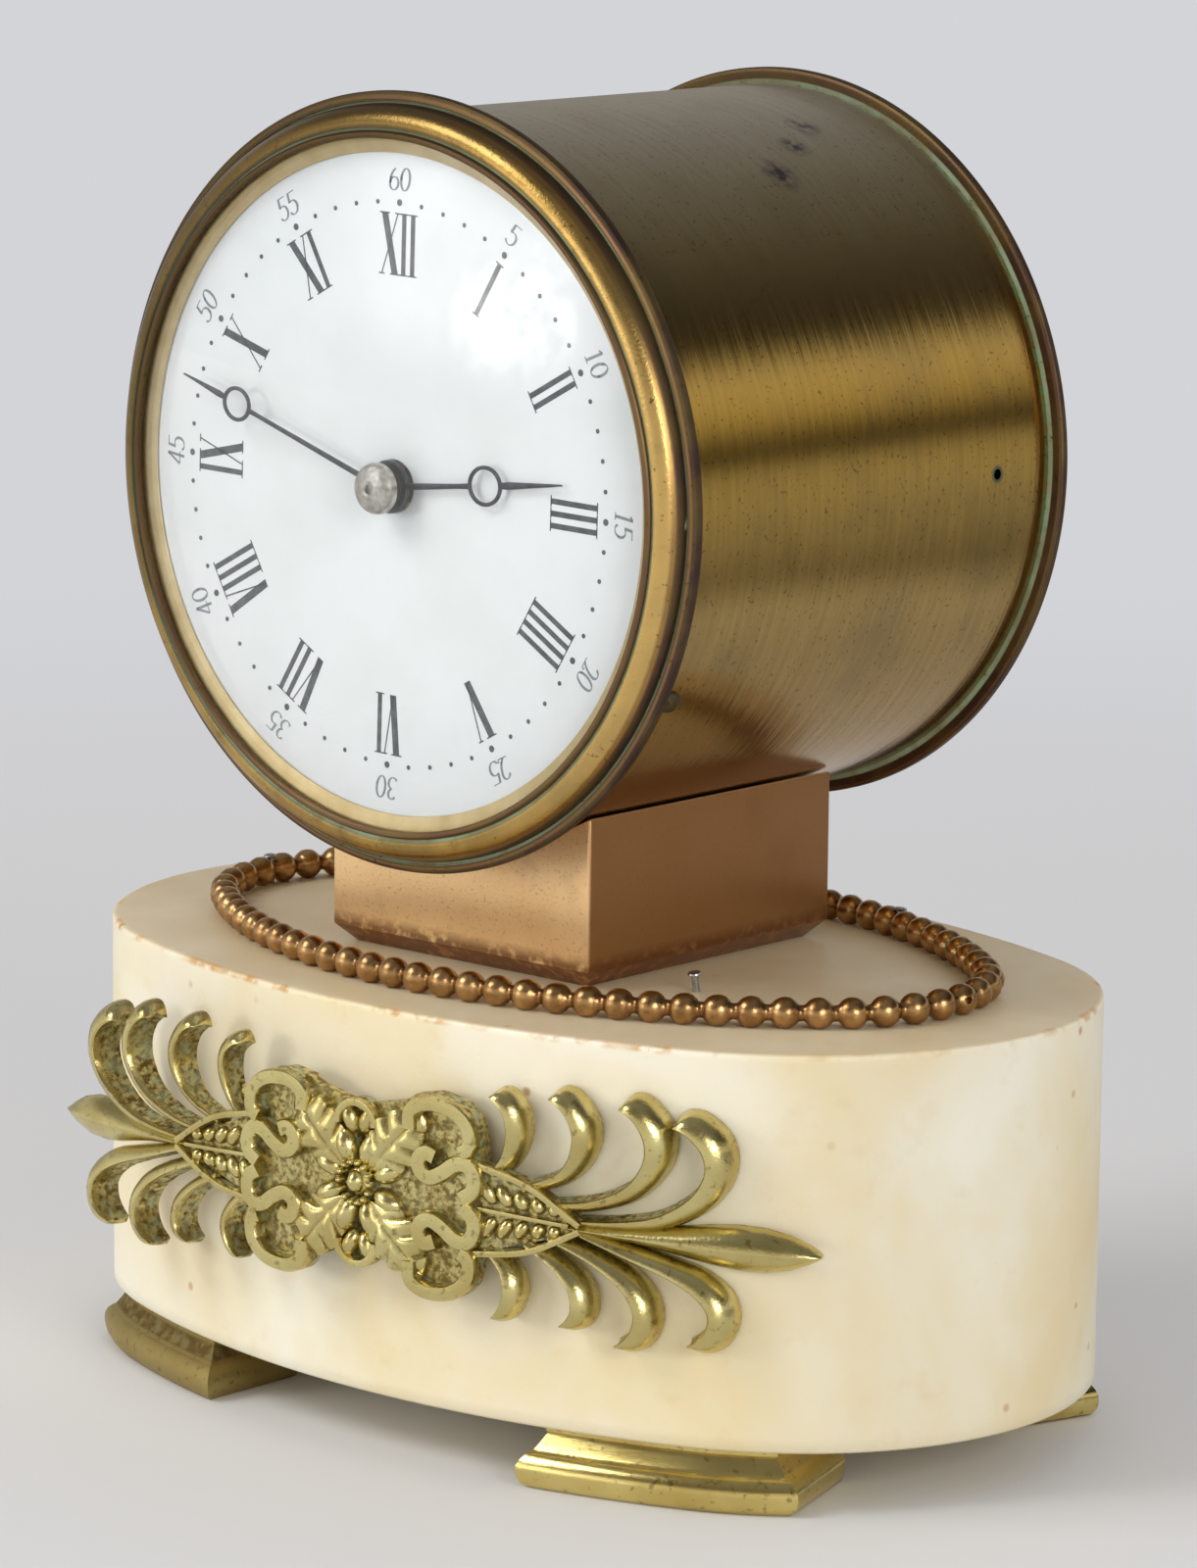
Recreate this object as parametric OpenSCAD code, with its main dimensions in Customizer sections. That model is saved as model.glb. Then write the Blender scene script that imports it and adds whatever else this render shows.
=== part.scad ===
/* [Stone] */
// Long way across the oval stone
stone_w = 148.2; // [144:0.1:180]
// Short way across the oval stone
stone_d = 93.2; // [88:0.1:112]
// Height of the stone
stone_h = 50.8; // [44:0.1:62]
// Radius of the stone's two ends
stone_end_r = 40.1; // [33:0.1:42]

/* [Feet] */
// Height of the brass feet
foot_h = 7.9; // [6.5:0.1:10]
// Depth of a foot, from the stone's edge inwards
foot_depth = 15.5; // [12:0.1:19]
// How far a foot swells out past the stone
foot_swell = 1.4; // [0.6:0.1:2]
// Where a foot starts, beside the stone's middle
foot_from = 28.5; // [24:0.1:34]
// Where a foot ends, beside the stone's middle
foot_to = 60; // [54:0.1:64]

/* [Trim] */
// Long way across the bead ring, bead centre to bead centre
ring_w = 120.4; // [116:0.1:128]
// Short way across the bead ring, bead centre to bead centre
ring_d = 73; // [66:0.1:78]
// Diameter of one bead
bead_d = 4.1; // [3.4:0.1:4.6]
// Number of beads
bead_count = 72; // [60:1:80]
// Length of the pierced mount on the stone's front
applique_w = 121.8; // [116:0.1:130]
// Height of the mount's middle above the table
applique_z = 36.8; // [32:0.1:40]

/* [Plinth block] */
// Width of the copper block
block_w = 45.6; // [38:0.1:54]
// Depth of the copper block, front to back
block_d = 48.1; // [42:0.1:56]
// Height of the block over the stone, foot step included
block_h = 22.4; // [20:0.1:26]
// Wall of the block
block_wall = 2; // [1.2:0.1:3]
// Inset of the undercut step under the block
block_step = 2.4; // [1.5:0.1:3]

/* [Case] */
// Outside radius of the drum tube
drum_r = 47.2; // [46:0.1:57]
// Wall of the drum tube
drum_wall = 1; // [0.8:0.1:1.4]
// Depth of the drum tube, front edge to back edge
drum_depth = 72.3; // [68:0.1:87]
// How far the bezel's rim stands out past the drum
rim_over = 2.8; // [2.6:0.1:3.4]
// Radius of the bezel's opening
opening_r = 44.2; // [42:0.1:44.6]
// Place of the drum beside the stone's middle
head_x = -4.9; // [-10:0.1:10]

/* [Movement] */
// Radius of the back plate
plate_r = 41; // [40:0.1:43]
// Thickness of the plates
plate_t = 2; // [1.8:0.1:2.6]
// Space between the plates
plate_gap = 29.4; // [27:0.1:35.4]
// Teeth of the barrel
barrel_teeth = 80; // [66:1:84]
// Teeth of the wheel on the centre arbor
centre_teeth = 64; // [54:1:66]
// Teeth of the third wheel
third_teeth = 60; // [56:1:62]
// Teeth of the fourth wheel
fourth_teeth = 60; // [56:1:62]

/* [Hidden] */
$fn = 96;

// Clearances: a shaft that turns, a piece that is slipped in, and open air
run = 0.05;
slip = 0.2;
air = 0.3;

// Heights of the stack, from the table up
mount_stand = 2.7;
mount_relief = 4.2;
stone_y = (mount_stand + mount_relief - foot_swell) / 2;
stone_top = foot_h + stone_h;
block_top = stone_top + block_h;
block_y = 2.7 + stone_y;

// The drum's axis is where the block's side walls nearly touch the tube
axis_z = block_top + sqrt(drum_r * drum_r - block_w * block_w / 4) + 0.6;
head_y = block_y + 3.1;
drum_bore = drum_r - drum_wall;
drum_back = 35;
drum_front = drum_back - drum_depth;

// Bezel, glass and dial, counted from the drum's front edge
rim_t = 1.5;
rim_r = drum_r + rim_over;
rim_back = drum_front;
rim_front = rim_back - rim_t;
lip_front = rim_front - 3.2;
bezel_bore = opening_r + 1.8;
glass_r = bezel_bore - slip;
glass_t = 1;
glass_edge = lip_front + 1.15;
glass_rise = 6.2;
glass_ball = (glass_r * glass_r + glass_rise * glass_rise) / (2 * glass_rise);
function glass_back(r) = glass_edge - glass_rise + glass_ball
    - sqrt((glass_ball - glass_t) * (glass_ball - glass_t) - r * r);
dial_front = rim_front - 0.55;
dial_t = 1.4;
dial_back = dial_front + dial_t;
dial_r = opening_r + 0.3;
dial_shows_r = opening_r - 1.9;
dial_foot_r = 31;
dial_foot_a = [0, 90, 180];

// Hinges of the bezel and of the rear door: upright pins beside the drum at 9 o'clock
knuckle_r = 1.15;
pin_r = 0.5;
knuckle_h = 4;
hinge_x = -(drum_r + knuckle_r + 0.1);
bezel_hinge_y = rim_back + knuckle_r + 0.15;
door_rim_r = drum_r + 2.2;
door_face = drum_back;
door_hinge_y = door_face - knuckle_r - 0.15;
leaf_t = 0.6;
leaf_depth = 6;

// Movement: plates, and the places of its arbors as [x, z] from the drum's axis
front_plate_front = drum_front + 3.4;
front_plate_back = front_plate_front + plate_t;
back_plate_front = front_plate_back + plate_gap;
back_plate_back = back_plate_front + plate_t;
case_screw_y = front_plate_front + plate_t / 2;
case_screw_a = 30;
pivot_r = 0.5;

// Gear sizes: module of each pair, and share of the pitch that a tooth fills
barrel_m = 0.48;
centre_m = 0.42;
third_m = 0.36;
fourth_m = 0.3;
cannon_m = 0.5;
hour_m = 0.48;
wheel_fill = 0.42;
leaf_fill = 0.34;
wheel_tip = 0.9;
leaf_tip = 0.5;
wheel_t = 1.2;
centre_leaves = 10;
third_leaves = 8;
fourth_leaves = 8;
escape_leaves = 6;
escape_teeth = 15;
cannon_leaves = 12;
minute_teeth = 36;
minute_leaves = 10;
hour_teeth = 40;

// Directions between the arbors, in degrees from 3 o'clock, and the arbors' places
barrel_dir = -90;
third_dir = 100;
fourth_dir = 200;
escape_dir = 110;
minute_dir = -150;
function step_to(p, r, a) = [p[0] + r * cos(a), p[1] + r * sin(a)];
function mesh_r(n1, n2, m) = m * (n1 + n2) / 2;
centre_at = [0, 0];
barrel_at = step_to(centre_at, mesh_r(barrel_teeth, centre_leaves, barrel_m), barrel_dir);
third_at = step_to(centre_at, mesh_r(centre_teeth, third_leaves, centre_m), third_dir);
fourth_at = step_to(third_at, mesh_r(third_teeth, fourth_leaves, third_m), fourth_dir);
escape_at = step_to(fourth_at, mesh_r(fourth_teeth, escape_leaves, fourth_m), escape_dir);
minute_at = step_to(centre_at, mesh_r(minute_teeth, cannon_leaves, cannon_m), minute_dir);
lever_at = [escape_at[0] + 7.6, escape_at[1]];
balance_at = [lever_at[0] + 8.6, lever_at[1]];
pillar_at = [for (a = [45, 135, -35, -145]) step_to([0, 0], plate_r - 2.6, a)];
pillar_r = 2.2;

// Levels along the drum's axis
centre_wheel_y = back_plate_front - 4.2;
third_wheel_y = back_plate_front - 12;
fourth_wheel_y = back_plate_front - 2.2;
great_y = front_plate_back + 2.2;
barrel_front = great_y + 2.2;
barrel_back = back_plate_front - 6;
barrel_r = barrel_m * (barrel_teeth / 2 - 1) - 1.1;
barrel_wall = 0.8;
barrel_core_r = 5;
barrel_arbor_r = 2.2;
barrel_pivot_r = 1.4;
square_w = 3.2;
pipe_r = 1.5;
setting_r = 0.9;
cannon_y = front_plate_front - 2.1;
minute_leaves_y = cannon_y - 1.5;
hour_wheel_y = cannon_y - 1.3;
cannon_pipe_r = 1.6;
hour_pipe_r = 2.4;
hour_hand_y = dial_front - 0.85;
minute_hand_y = hour_hand_y - 1.3;
nut_front = minute_hand_y - 2.6;
escape_y = back_plate_back + 3;
bridge_y = back_plate_back + 5.4;
bridge_t = 1.2;
balance_y = bridge_y + bridge_t + 1;
balance_r = 9;
spring_y = balance_y + 1.9;
cock_y = spring_y + 1.5;
cock_t = 1.6;
setting_end = cock_y + 2;

// Frames of reference: the stone's middle, and the drum's axis
module on_stone() translate([0, stone_y, 0]) children();
module in_head() translate([head_x, head_y, axis_z]) children();
module at(p) translate([p[0], 0, p[1]]) children();

// A flat outline in x and z, made solid from y0 to y1
module slab(y0, y1) translate([0, y1, 0]) rotate([90, 0, 0])
    linear_extrude(height = y1 - y0) children();
module rod(y0, y1, r) translate([0, y1, 0]) rotate([90, 0, 0]) cylinder(h = y1 - y0, r = r);
module pipe(y0, y1, r, bore) difference() {
    rod(y0, y1, r);
    rod(y0 - 1, y1 + 1, bore);
}
// Profile points [radius, y] turned about the drum's axis
module turned(points) rotate([90, 0, 0]) rotate_extrude() polygon([for (p = points) [p[0], -p[1]]]);

// Outline of one gear, as tooth corners [share of half a tooth, height in modules]
function tooth(fill, tip, root) = [[-1, -root], [-1, 0], [-0.82, tip / 2], [-0.35, tip],
    [0.35, tip], [0.82, tip / 2], [1, 0], [1, -root]];
function gear(n, m, fill, tip, root, turn) = [for (i = [0:n - 1]) for (c = tooth(fill, tip, root))
    let (a = turn + 360 / n * i + c[0] * fill * 180 / n, r = m * (n / 2 + c[1]))
        [r * cos(a), r * sin(a)]];
module wheel_outline(n, m, turn) polygon(gear(n, m, wheel_fill, wheel_tip, 1, turn));
module pinion_outline(n, m, turn) polygon(gear(n, m, leaf_fill, leaf_tip, 1.25, turn));
// A pinion's leaves are turned so that a gap faces the wheel that drives it
function gap_turn(n, dir) = dir + 180 + 180 / n;

// A crossed-out wheel: rim, five arms and a hub with a bore
module crossed(n, m, turn, hub, bore, arm) difference() {
    wheel_outline(n, m, turn);
    difference() {
        circle(r = m * (n / 2 - 1) - 1.6);
        circle(r = hub);
        for (k = [0:4]) rotate(72 * k + 20) translate([0, -arm / 2]) square([m * n, arm]);
    }
    circle(r = bore);
}

// A flat spiral strip with its turns a steady step apart
function spiral(r0, step, turns, t, n) = concat(
    [for (i = [0:turns * n]) let (a = 360 * i / n, r = r0 + step * i / n) [r * cos(a), r * sin(a)]],
    [for (j = [0:turns * n]) let (i = turns * n - j, a = 360 * i / n, r = r0 + t + step * i / n)
        [r * cos(a), r * sin(a)]]);

// The stone's oval: two end arcs and two flatter side arcs that meet smoothly
function side_rise(a, b, r) = ((a - r) * (a - r) - (b - r) * (b - r)) / (2 * (b - r));
function join_angle(a, b, r) = atan2(side_rise(a, b, r), a - r);
module oval(a, b, r) {
    rise = side_rise(a, b, r);
    join_x = a - r + r * cos(join_angle(a, b, r));
    for (s = [-1, 1]) translate([s * (a - r), 0]) circle(r = r);
    intersection() {
        translate([0, -rise]) circle(r = b + rise);
        translate([0, rise]) circle(r = b + rise);
        square([2 * join_x, 4 * b], center = true);
    }
}
// A point of the oval's edge at x, pushed out by off: [x, y] with y positive
function oval_edge(a, b, r, x, off) = let (rise = side_rise(a, b, r),
    join_x = a - r + r * cos(join_angle(a, b, r)))
    x > join_x
        ? let (s = sqrt(max(r * r - (x - a + r) * (x - a + r), 0)))
            [x + (x - a + r) / r * off, s + s / r * off]
        : let (s = sqrt((b + rise) * (b + rise) - x * x))
            [x + x / (b + rise) * off, s - rise + s / (b + rise) * off];

module stone_base() {
    color("oldlace") difference() {
        on_stone() translate([0, 0, foot_h]) linear_extrude(height = stone_h)
            oval(stone_w / 2, stone_d / 2, stone_end_r);
        translate([head_x, block_y, foot_h - 1]) cylinder(h = stone_h + 2, r = bolt_r + 0.5);
        translate([head_x, block_y, foot_h - 1]) cylinder(h = 9, r = washer_r + 1);
        for (p = foot_screw_at) translate([p[0], p[1], foot_h - 1])
            cylinder(h = 9.4, r = screw_r + run);
        for (s = [-1, 1]) applique_frame() translate([s * lug_x, 0, 0]) rotate([-90, 0, 0])
            cylinder(h = 15, r = lug_r + run);
        for (p = nail_at) translate([p[0], p[1], stone_top - 4]) cylinder(h = 6, r = nail_r + run);
    }
}

// Feet: level outlines that follow the stone's oval, stacked into a moulded block
// Each level is [share of the height, how far it stands out]
foot_levels = [[0, -0.3], [0.07, 0.8], [0.3, foot_swell], [0.5, foot_swell - 0.2], [0.64, 0],
    [0.66, -1.3], [0.76, -1.7], [0.9, -1.2], [1, -0.6]];
foot_steps = 10;
function foot_outline(off) = let (a = stone_w / 2, b = stone_d / 2, x0 = foot_from - off,
    x1 = foot_to + off * 0.7, inner = [foot_to - 4.5 + off * 0.7, 0])
    concat([for (i = [0:foot_steps])
            oval_edge(a, b, stone_end_r, x0 + (x1 - x0) * i / foot_steps, off)],
        [[inner[0], oval_edge(a, b, stone_end_r, foot_to, 0)[1] - foot_depth],
        [(inner[0] + x0) / 2,
            oval_edge(a, b, stone_end_r, (foot_to + foot_from) / 2, 0)[1] - foot_depth],
        [x0, oval_edge(a, b, stone_end_r, foot_from, 0)[1] - foot_depth]]);
module foot_shape() {
    n = foot_steps + 4;
    m = len(foot_levels);
    points = [for (q = foot_levels) for (p = foot_outline(q[1])) [p[0], p[1], q[0] * foot_h]];
    sides = [for (j = [0:m - 2]) for (i = [0:n - 1]) for (f = [0, 1]) let (k = (i + 1) % n)
        f == 0 ? [j * n + i, j * n + k, (j + 1) * n + k]
            : [j * n + i, (j + 1) * n + k, (j + 1) * n + i]];
    polyhedron(points, concat(sides, [[for (i = [0:n - 1]) i], [for (i = [0:n - 1]) m * n - 1 - i]]));
}
module foot(sx, sy) color("darkgoldenrod") difference() {
    on_stone() mirror([sx < 0 ? 1 : 0, 0, 0]) mirror([0, sy < 0 ? 1 : 0, 0]) foot_shape();
    translate([sx * foot_screw_x, stone_y + sy * foot_screw_off, -1]) {
        cylinder(h = foot_h + 2, r = screw_r + run);
        cylinder(h = 3.6, r = screw_head_r + air);
    }
}
screw_r = 1.5;
screw_head_r = 3;
foot_screw_x = (foot_from + foot_to) / 2 - 1;
foot_screw_off = oval_edge(stone_w / 2, stone_d / 2, stone_end_r, foot_screw_x, 0)[1] - foot_depth / 2;
foot_screw_at = [for (sx = [-1, 1]) for (sy = [-1, 1])
    [sx * foot_screw_x, stone_y + sy * foot_screw_off]];
module foot_screws() color("gray") for (p = foot_screw_at) translate([p[0], p[1], 0.8]) difference() {
    union() {
        cylinder(h = 1.8, r = screw_head_r);
        cylinder(h = foot_h + 6, r = screw_r);
    }
    translate([-4, -0.4, -1]) cube([8, 0.8, 1.8]);
}

// Bead ring: one tube whose radius swells at each bead, along an oval of its own
ring_end_r = 0.6 * ring_d / 2;
neck_share = 0.5;
ring_sides = 8;
rings_per_bead = 4;
bead_z = stone_top + bead_d / 2 * cos(22.5) + 0.02;
// The four quarters of the oval, by length: end arc, side arc, and where a length falls
ring_a = ring_w / 2;
ring_b = ring_d / 2;
ring_rise = side_rise(ring_a, ring_b, ring_end_r);
ring_join = join_angle(ring_a, ring_b, ring_end_r);
end_len = ring_end_r * ring_join * PI / 180;
side_len = (ring_b + ring_rise) * (90 - ring_join) * PI / 180;
quarter = end_len + side_len;
function ring_first(s) = s <= end_len
    ? let (a = s / ring_end_r * 180 / PI)
        [ring_a - ring_end_r + ring_end_r * cos(a), ring_end_r * sin(a), a]
    : let (a = ring_join + (s - end_len) / (ring_b + ring_rise) * 180 / PI)
        [(ring_b + ring_rise) * cos(a), (ring_b + ring_rise) * sin(a) - ring_rise, a];
function ring_place(s) = s < quarter ? ring_first(s)
    : s < 2 * quarter ? let (p = ring_first(2 * quarter - s)) [-p[0], p[1], 180 - p[2]]
    : s < 3 * quarter ? let (p = ring_first(s - 2 * quarter)) [-p[0], -p[1], 180 + p[2]]
    : let (p = ring_first(4 * quarter - s)) [p[0], -p[1], -p[2]];
module bead_ring() color("sienna") on_stone() {
    n = bead_count * rings_per_bead;
    points = [for (i = [0:n - 1]) let (p = ring_place(4 * quarter * i / n), k = i % rings_per_bead,
        r = bead_d / 2 * (k == 0 ? neck_share : k == 2 ? 1 : 0.88))
        for (j = [0:ring_sides - 1]) let (b = 360 / ring_sides * (j + 0.5))
        [p[0] + r * cos(b) * cos(p[2]), p[1] + r * cos(b) * sin(p[2]), bead_z + r * sin(b)]];
    faces = [for (i = [0:n - 1]) for (j = [0:ring_sides - 1]) for (f = [0, 1])
        let (i2 = (i + 1) % n, j2 = (j + 1) % ring_sides, s = ring_sides)
        f == 0 ? [i * s + j, i * s + j2, i2 * s + j2] : [i * s + j, i2 * s + j2, i2 * s + j]];
    difference() {
        polyhedron(points, faces);
        for (p = ring_nail_at) translate([p[0], p[1] - stone_y, stone_top - 1])
            cylinder(h = bead_d + 2, r = nail_r + run);
        translate([holed_bead[0], holed_bead[1], stone_top + bead_d / 2]) cylinder(h = bead_d, r = 0.6);
    }
}
// Nails hold the ring down through its necks; one more stands alone beside the block
nail_r = 0.45;
nail_h = bead_d * 0.88;
holed_bead = ring_place(4 * quarter * 0.5 / bead_count);
ring_nail_at = [for (i = [1 / 6, 1 / 3, 1 / 2])
    let (p = ring_place(4 * quarter * round(i * bead_count) / bead_count)) [p[0], p[1] + stone_y]];
nail_at = concat(ring_nail_at, [[27.7, stone_y - 11.3]]);
module bead_ring_nails() color("silver") for (p = nail_at) translate([p[0], p[1], stone_top - 3.8]) {
    cylinder(h = 3.8 + nail_h, r = nail_r);
    translate([0, 0, 3.8 + nail_h]) cylinder(h = 0.5, r = 0.9);
}

// Pierced mount on the front: a bent casting, so its outline is cut from a curved shell
applique_bend = 149.3;
lug_x = 30;
lug_r = 1.2;
applique_turn = 6.1;
applique_tilt = 1.5;
applique_x = 4.9;
// Four fronds on each side of each half: where each leaves the stem, its outer bend, its top
// and how far its tip rolls back
frond_root = [[20.5, 4.5], [26, 3.2], [29.5, 1.8], [33, 0.9]];
frond_bend = [24.2, 33.3, 43.2, 51];
frond_top = [13.5, 14, 14.5, 13.5];
frond_curl = [4.2, 4.8, 5.4, 6];
module applique_frame() translate([applique_x, stone_y - stone_d / 2 - mount_stand, applique_z])
    rotate([0, applique_tilt, applique_turn]) children();
function frond_mid(k, a) = let (root = frond_root[k], half = (frond_top[k] - root[1]) / 2,
    reach = a < 0 ? frond_bend[k] - root[0] : frond_curl[k])
    [frond_bend[k] - reach * (1 - cos(a)), root[1] + half * (1 + sin(a))];
function frond_half(a) = a < 40 ? 0.6 + 1.1 * (a + 90) / 130 : 1.7 * sqrt(max((105 - a) / 65, 0.02));
module frond(k) {
    angles = [-90:15:105];
    edge = function (side) [for (a = angles)
        let (p = frond_mid(k, a), d = frond_mid(k, a + 2) - frond_mid(k, a - 2))
            p + side * frond_half(a) / norm(d) * [-d[1], d[0]]];
    inner = edge(1);
    polygon(concat(edge(-1), [for (i = [1:len(inner)]) inner[len(inner) - i]]));
}
// Half of the outline above its middle line: cartouche, ribbed panel and long spear bud
module half_body(tip) polygon([[-1, 0], [-1, 9], [3, 9], [8.5, 11.4], [10, 10.4], [12, 12.4],
    [15.5, 12.8], [18.2, 11], [18.6, 7], [20, 5.6], [32, 1.3], [38, 0.9], [46, 2], [53, 3],
    [tip - 4, 2], [tip, 0]]);
module applique_outline() for (sx = [0, 1]) mirror([sx, 0]) for (sy = [0, 1]) mirror([0, sy]) {
    half_body(applique_w / 2 + (sx == 0 ? 2.4 : -2.4));
    for (k = [0:3]) frond(k);
}
module front_mount() color("goldenrod") applique_frame() {
    intersection() {
        slab(-6, 40) applique_outline();
        translate([0, applique_bend, -30]) difference() {
            cylinder(h = 60, r = applique_bend + 1.6, $fn = 180);
            translate([0, 0, -1]) cylinder(h = 62, r = applique_bend, $fn = 180);
        }
    }
    intersection() {
        slab(-6, 30) leaf_body();
        translate([0, applique_bend, -30]) difference() {
            cylinder(h = 60, r = applique_bend + 3, $fn = 180);
            translate([0, 0, -1]) cylinder(h = 62, r = applique_bend + 0.6, $fn = 180);
        }
    }
    rod(-mount_relief, -0.8, 3);
    for (s = [-1, 1]) translate([s * lug_x, 2.2, 0]) rotate([-90, 0, 0]) cylinder(h = 12, r = lug_r);
}
module leaf_body() for (s = [0, 1]) mirror([s, 0])
    polygon([[-1, -8], [9, -9], [17, -9], [18, -5], [30, -1],
        [30, 1], [18, 5], [17, 9], [9, 9], [-1, 8]]);

// Plinth block: hollow, with a floor on the stone and walls that cradle the drum
module plinth_block() color("peru") difference() {
    union() {
        translate([head_x - block_w / 2, block_y - block_d / 2, stone_top + block_step])
            cube([block_w, block_d, block_h - block_step]);
        for (i = [0:3]) translate([head_x - block_w / 2 + block_step * (4 - i) / 4,
            block_y - block_d / 2 + block_step * (4 - i) / 4, stone_top + block_step * i / 4])
            cube([block_w - block_step * (4 - i) / 2, block_d - block_step * (4 - i) / 2,
                block_step / 4 + 0.01]);
    }
    translate([head_x - hollow_w / 2, block_y - hollow_d / 2, stone_top + block_floor])
        cube([hollow_w, hollow_d, block_h]);
    translate([head_x, block_y, stone_top - 1]) cylinder(h = block_h, r = bolt_r + slip);
    in_head() rod(-60, 60, drum_r + air);
}
block_floor = 3;
hollow_w = block_w - 2 * block_wall - 2 * block_step;
hollow_d = block_d - 2 * block_wall - 2 * block_step;
saddle_w = 26;
saddle_d = 30;
// Saddle: the piece inside the block that the drum really sits on
module saddle_block() color("saddlebrown") difference() {
    translate([head_x - saddle_w / 2, block_y - saddle_d / 2, stone_top + block_floor])
        cube([saddle_w, saddle_d, block_h]);
    in_head() rod(-60, 60, drum_r);
    translate([head_x, block_y, stone_top - 1]) cylinder(h = block_h, r = bolt_r + slip);
}

// Tie bolt: from inside the drum, down through saddle, block and stone
bolt_r = 2.5;
bolt_head_r = 4.2;
washer_r = 7;
bolt_seat = axis_z - sqrt(drum_bore * drum_bore - bolt_head_r * bolt_head_r) + 0.03;
nut_h = 3;
washer_t = 1.2;
recess_top = foot_h + 8;
bolt_low = recess_top - washer_t - nut_h - 0.6;
module tie_bolt() color("gray") translate([head_x, block_y, 0]) difference() {
    union() {
        translate([0, 0, bolt_low]) cylinder(h = bolt_seat + 0.1 - bolt_low, r = bolt_r);
        translate([0, 0, bolt_seat]) cylinder(h = 2, r = bolt_head_r);
    }
    translate([-bolt_head_r - 1, -0.5, bolt_seat + 1.2]) cube([2 * bolt_head_r + 2, 1, 2]);
}
module tie_washer() color("darkgoldenrod") translate([head_x, block_y, recess_top - washer_t])
difference() {
    cylinder(h = washer_t, r = washer_r);
    translate([0, 0, -1]) cylinder(h = 4, r = bolt_r + slip);
}
module tie_nut() color("gray") translate([head_x, block_y, recess_top - washer_t - nut_h])
difference() {
    translate([-4.5, -4.5, 0]) cube([9, 9, nut_h]);
    translate([0, 0, -1]) cylinder(h = nut_h + 2, r = bolt_r);
}

// Drum: the brass tube, with its screw holes, the empty hole near its back and the bolt hole
catch_hole_y = 24.2;
module drum_case() color("darkgoldenrod") difference() {
    in_head() pipe(drum_front, drum_back, drum_r, drum_bore);
    translate([head_x, block_y, block_top - 12]) cylinder(h = 20, r = bolt_r + slip);
    in_head() for (a = [case_screw_a, 180 - case_screw_a]) rotate([0, a, 0])
        translate([drum_r - 4, case_screw_y, 0]) rotate([0, 90, 0]) cylinder(h = 8, r = 0.8);
    in_head() translate([drum_r - 4, catch_hole_y, 0]) rotate([0, 90, 0]) cylinder(h = 8, r = 0.7);
}
module case_screws() color("dimgray") in_head() for (a = [case_screw_a, 180 - case_screw_a])
    rotate([0, a, 0]) translate([drum_r - 5, case_screw_y, 0]) rotate([0, 90, 0]) difference() {
        union() {
            cylinder(h = 5.6, r = 0.75);
            translate([0, 0, 5.04]) cylinder(h = 0.9, r = 1.5);
        }
        translate([-2, -0.2, 5.5]) cube([4, 0.4, 1]);
    }

// Bezel: rim, groove, rounded moulding and inner lip in one turned profile
mould_in = opening_r + 1.5;
mould_out = rim_r - 1.6;
bezel_profile = concat([[bezel_bore, rim_back], [rim_r - 0.3, rim_back], [rim_r, rim_back - 0.3],
    [rim_r, rim_front + 0.4], [rim_r - 0.4, rim_front], [rim_r - 1.1, rim_front - 0.3],
    [rim_r - 1.25, rim_front + 0.1]],
    [for (a = [0:10:90]) [mould_in + (mould_out - mould_in) * cos(a), rim_front - 3 * sin(a)]],
    [[opening_r + 1.3, lip_front + 0.4], [opening_r + 1, lip_front + 0.4],
    [opening_r + 1, lip_front + 0.1], [opening_r + 0.9, lip_front], [opening_r + 0.1, lip_front],
    [opening_r, lip_front + 0.1], [opening_r, glass_edge - 0.4], [bezel_bore, glass_edge - 0.4]]);
module front_bezel() color("darkgoldenrod") in_head() {
    turned(bezel_profile);
    knuckle(bezel_hinge_y, rim_back - 0.2);
    catch_tongue(rim_back - 0.4, rim_back + 2.9);
}
// A moving knuckle between two fixed ones, with a web to the face it belongs to
module knuckle(y, face) difference() {
    union() {
        translate([hinge_x, y, -knuckle_h / 2]) cylinder(h = knuckle_h, r = knuckle_r);
        translate([hinge_x - 0.5, min(y, face), -knuckle_h / 2]) cube([1, abs(face - y), knuckle_h]);
    }
    translate([hinge_x, y, -knuckle_h]) cylinder(h = 2 * knuckle_h, r = pin_r + run);
}
// A thin tongue at 3 o'clock that slips inside the tube and holds the ring shut
module catch_tongue(y0, y1) intersection() {
    pipe(y0, y1, drum_bore - slip, drum_bore - slip - 0.8);
    translate([drum_bore - 4, y0 - 1, -4]) cube([5, y1 - y0 + 2, 8]);
}
module glass() color([0.85, 0.92, 0.95, 0.35]) in_head() intersection() {
    translate([0, glass_edge - glass_rise + glass_ball, 0]) difference() {
        sphere(r = glass_ball, $fn = 180);
        sphere(r = glass_ball - glass_t, $fn = 180);
    }
    rod(glass_edge - glass_rise - 2, glass_edge + glass_t + 1, glass_r);
}
// Sight ring: the bright cone between the glass and the dial
module sight_ring() color("gold") in_head() turned([[glass_r, dial_front - 0.1],
    [dial_shows_r, dial_front - 0.1], [dial_shows_r, dial_front - 0.3],
    [opening_r, glass_back(opening_r) + 0.05], [glass_r, glass_back(glass_r) + 0.05]]);

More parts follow.
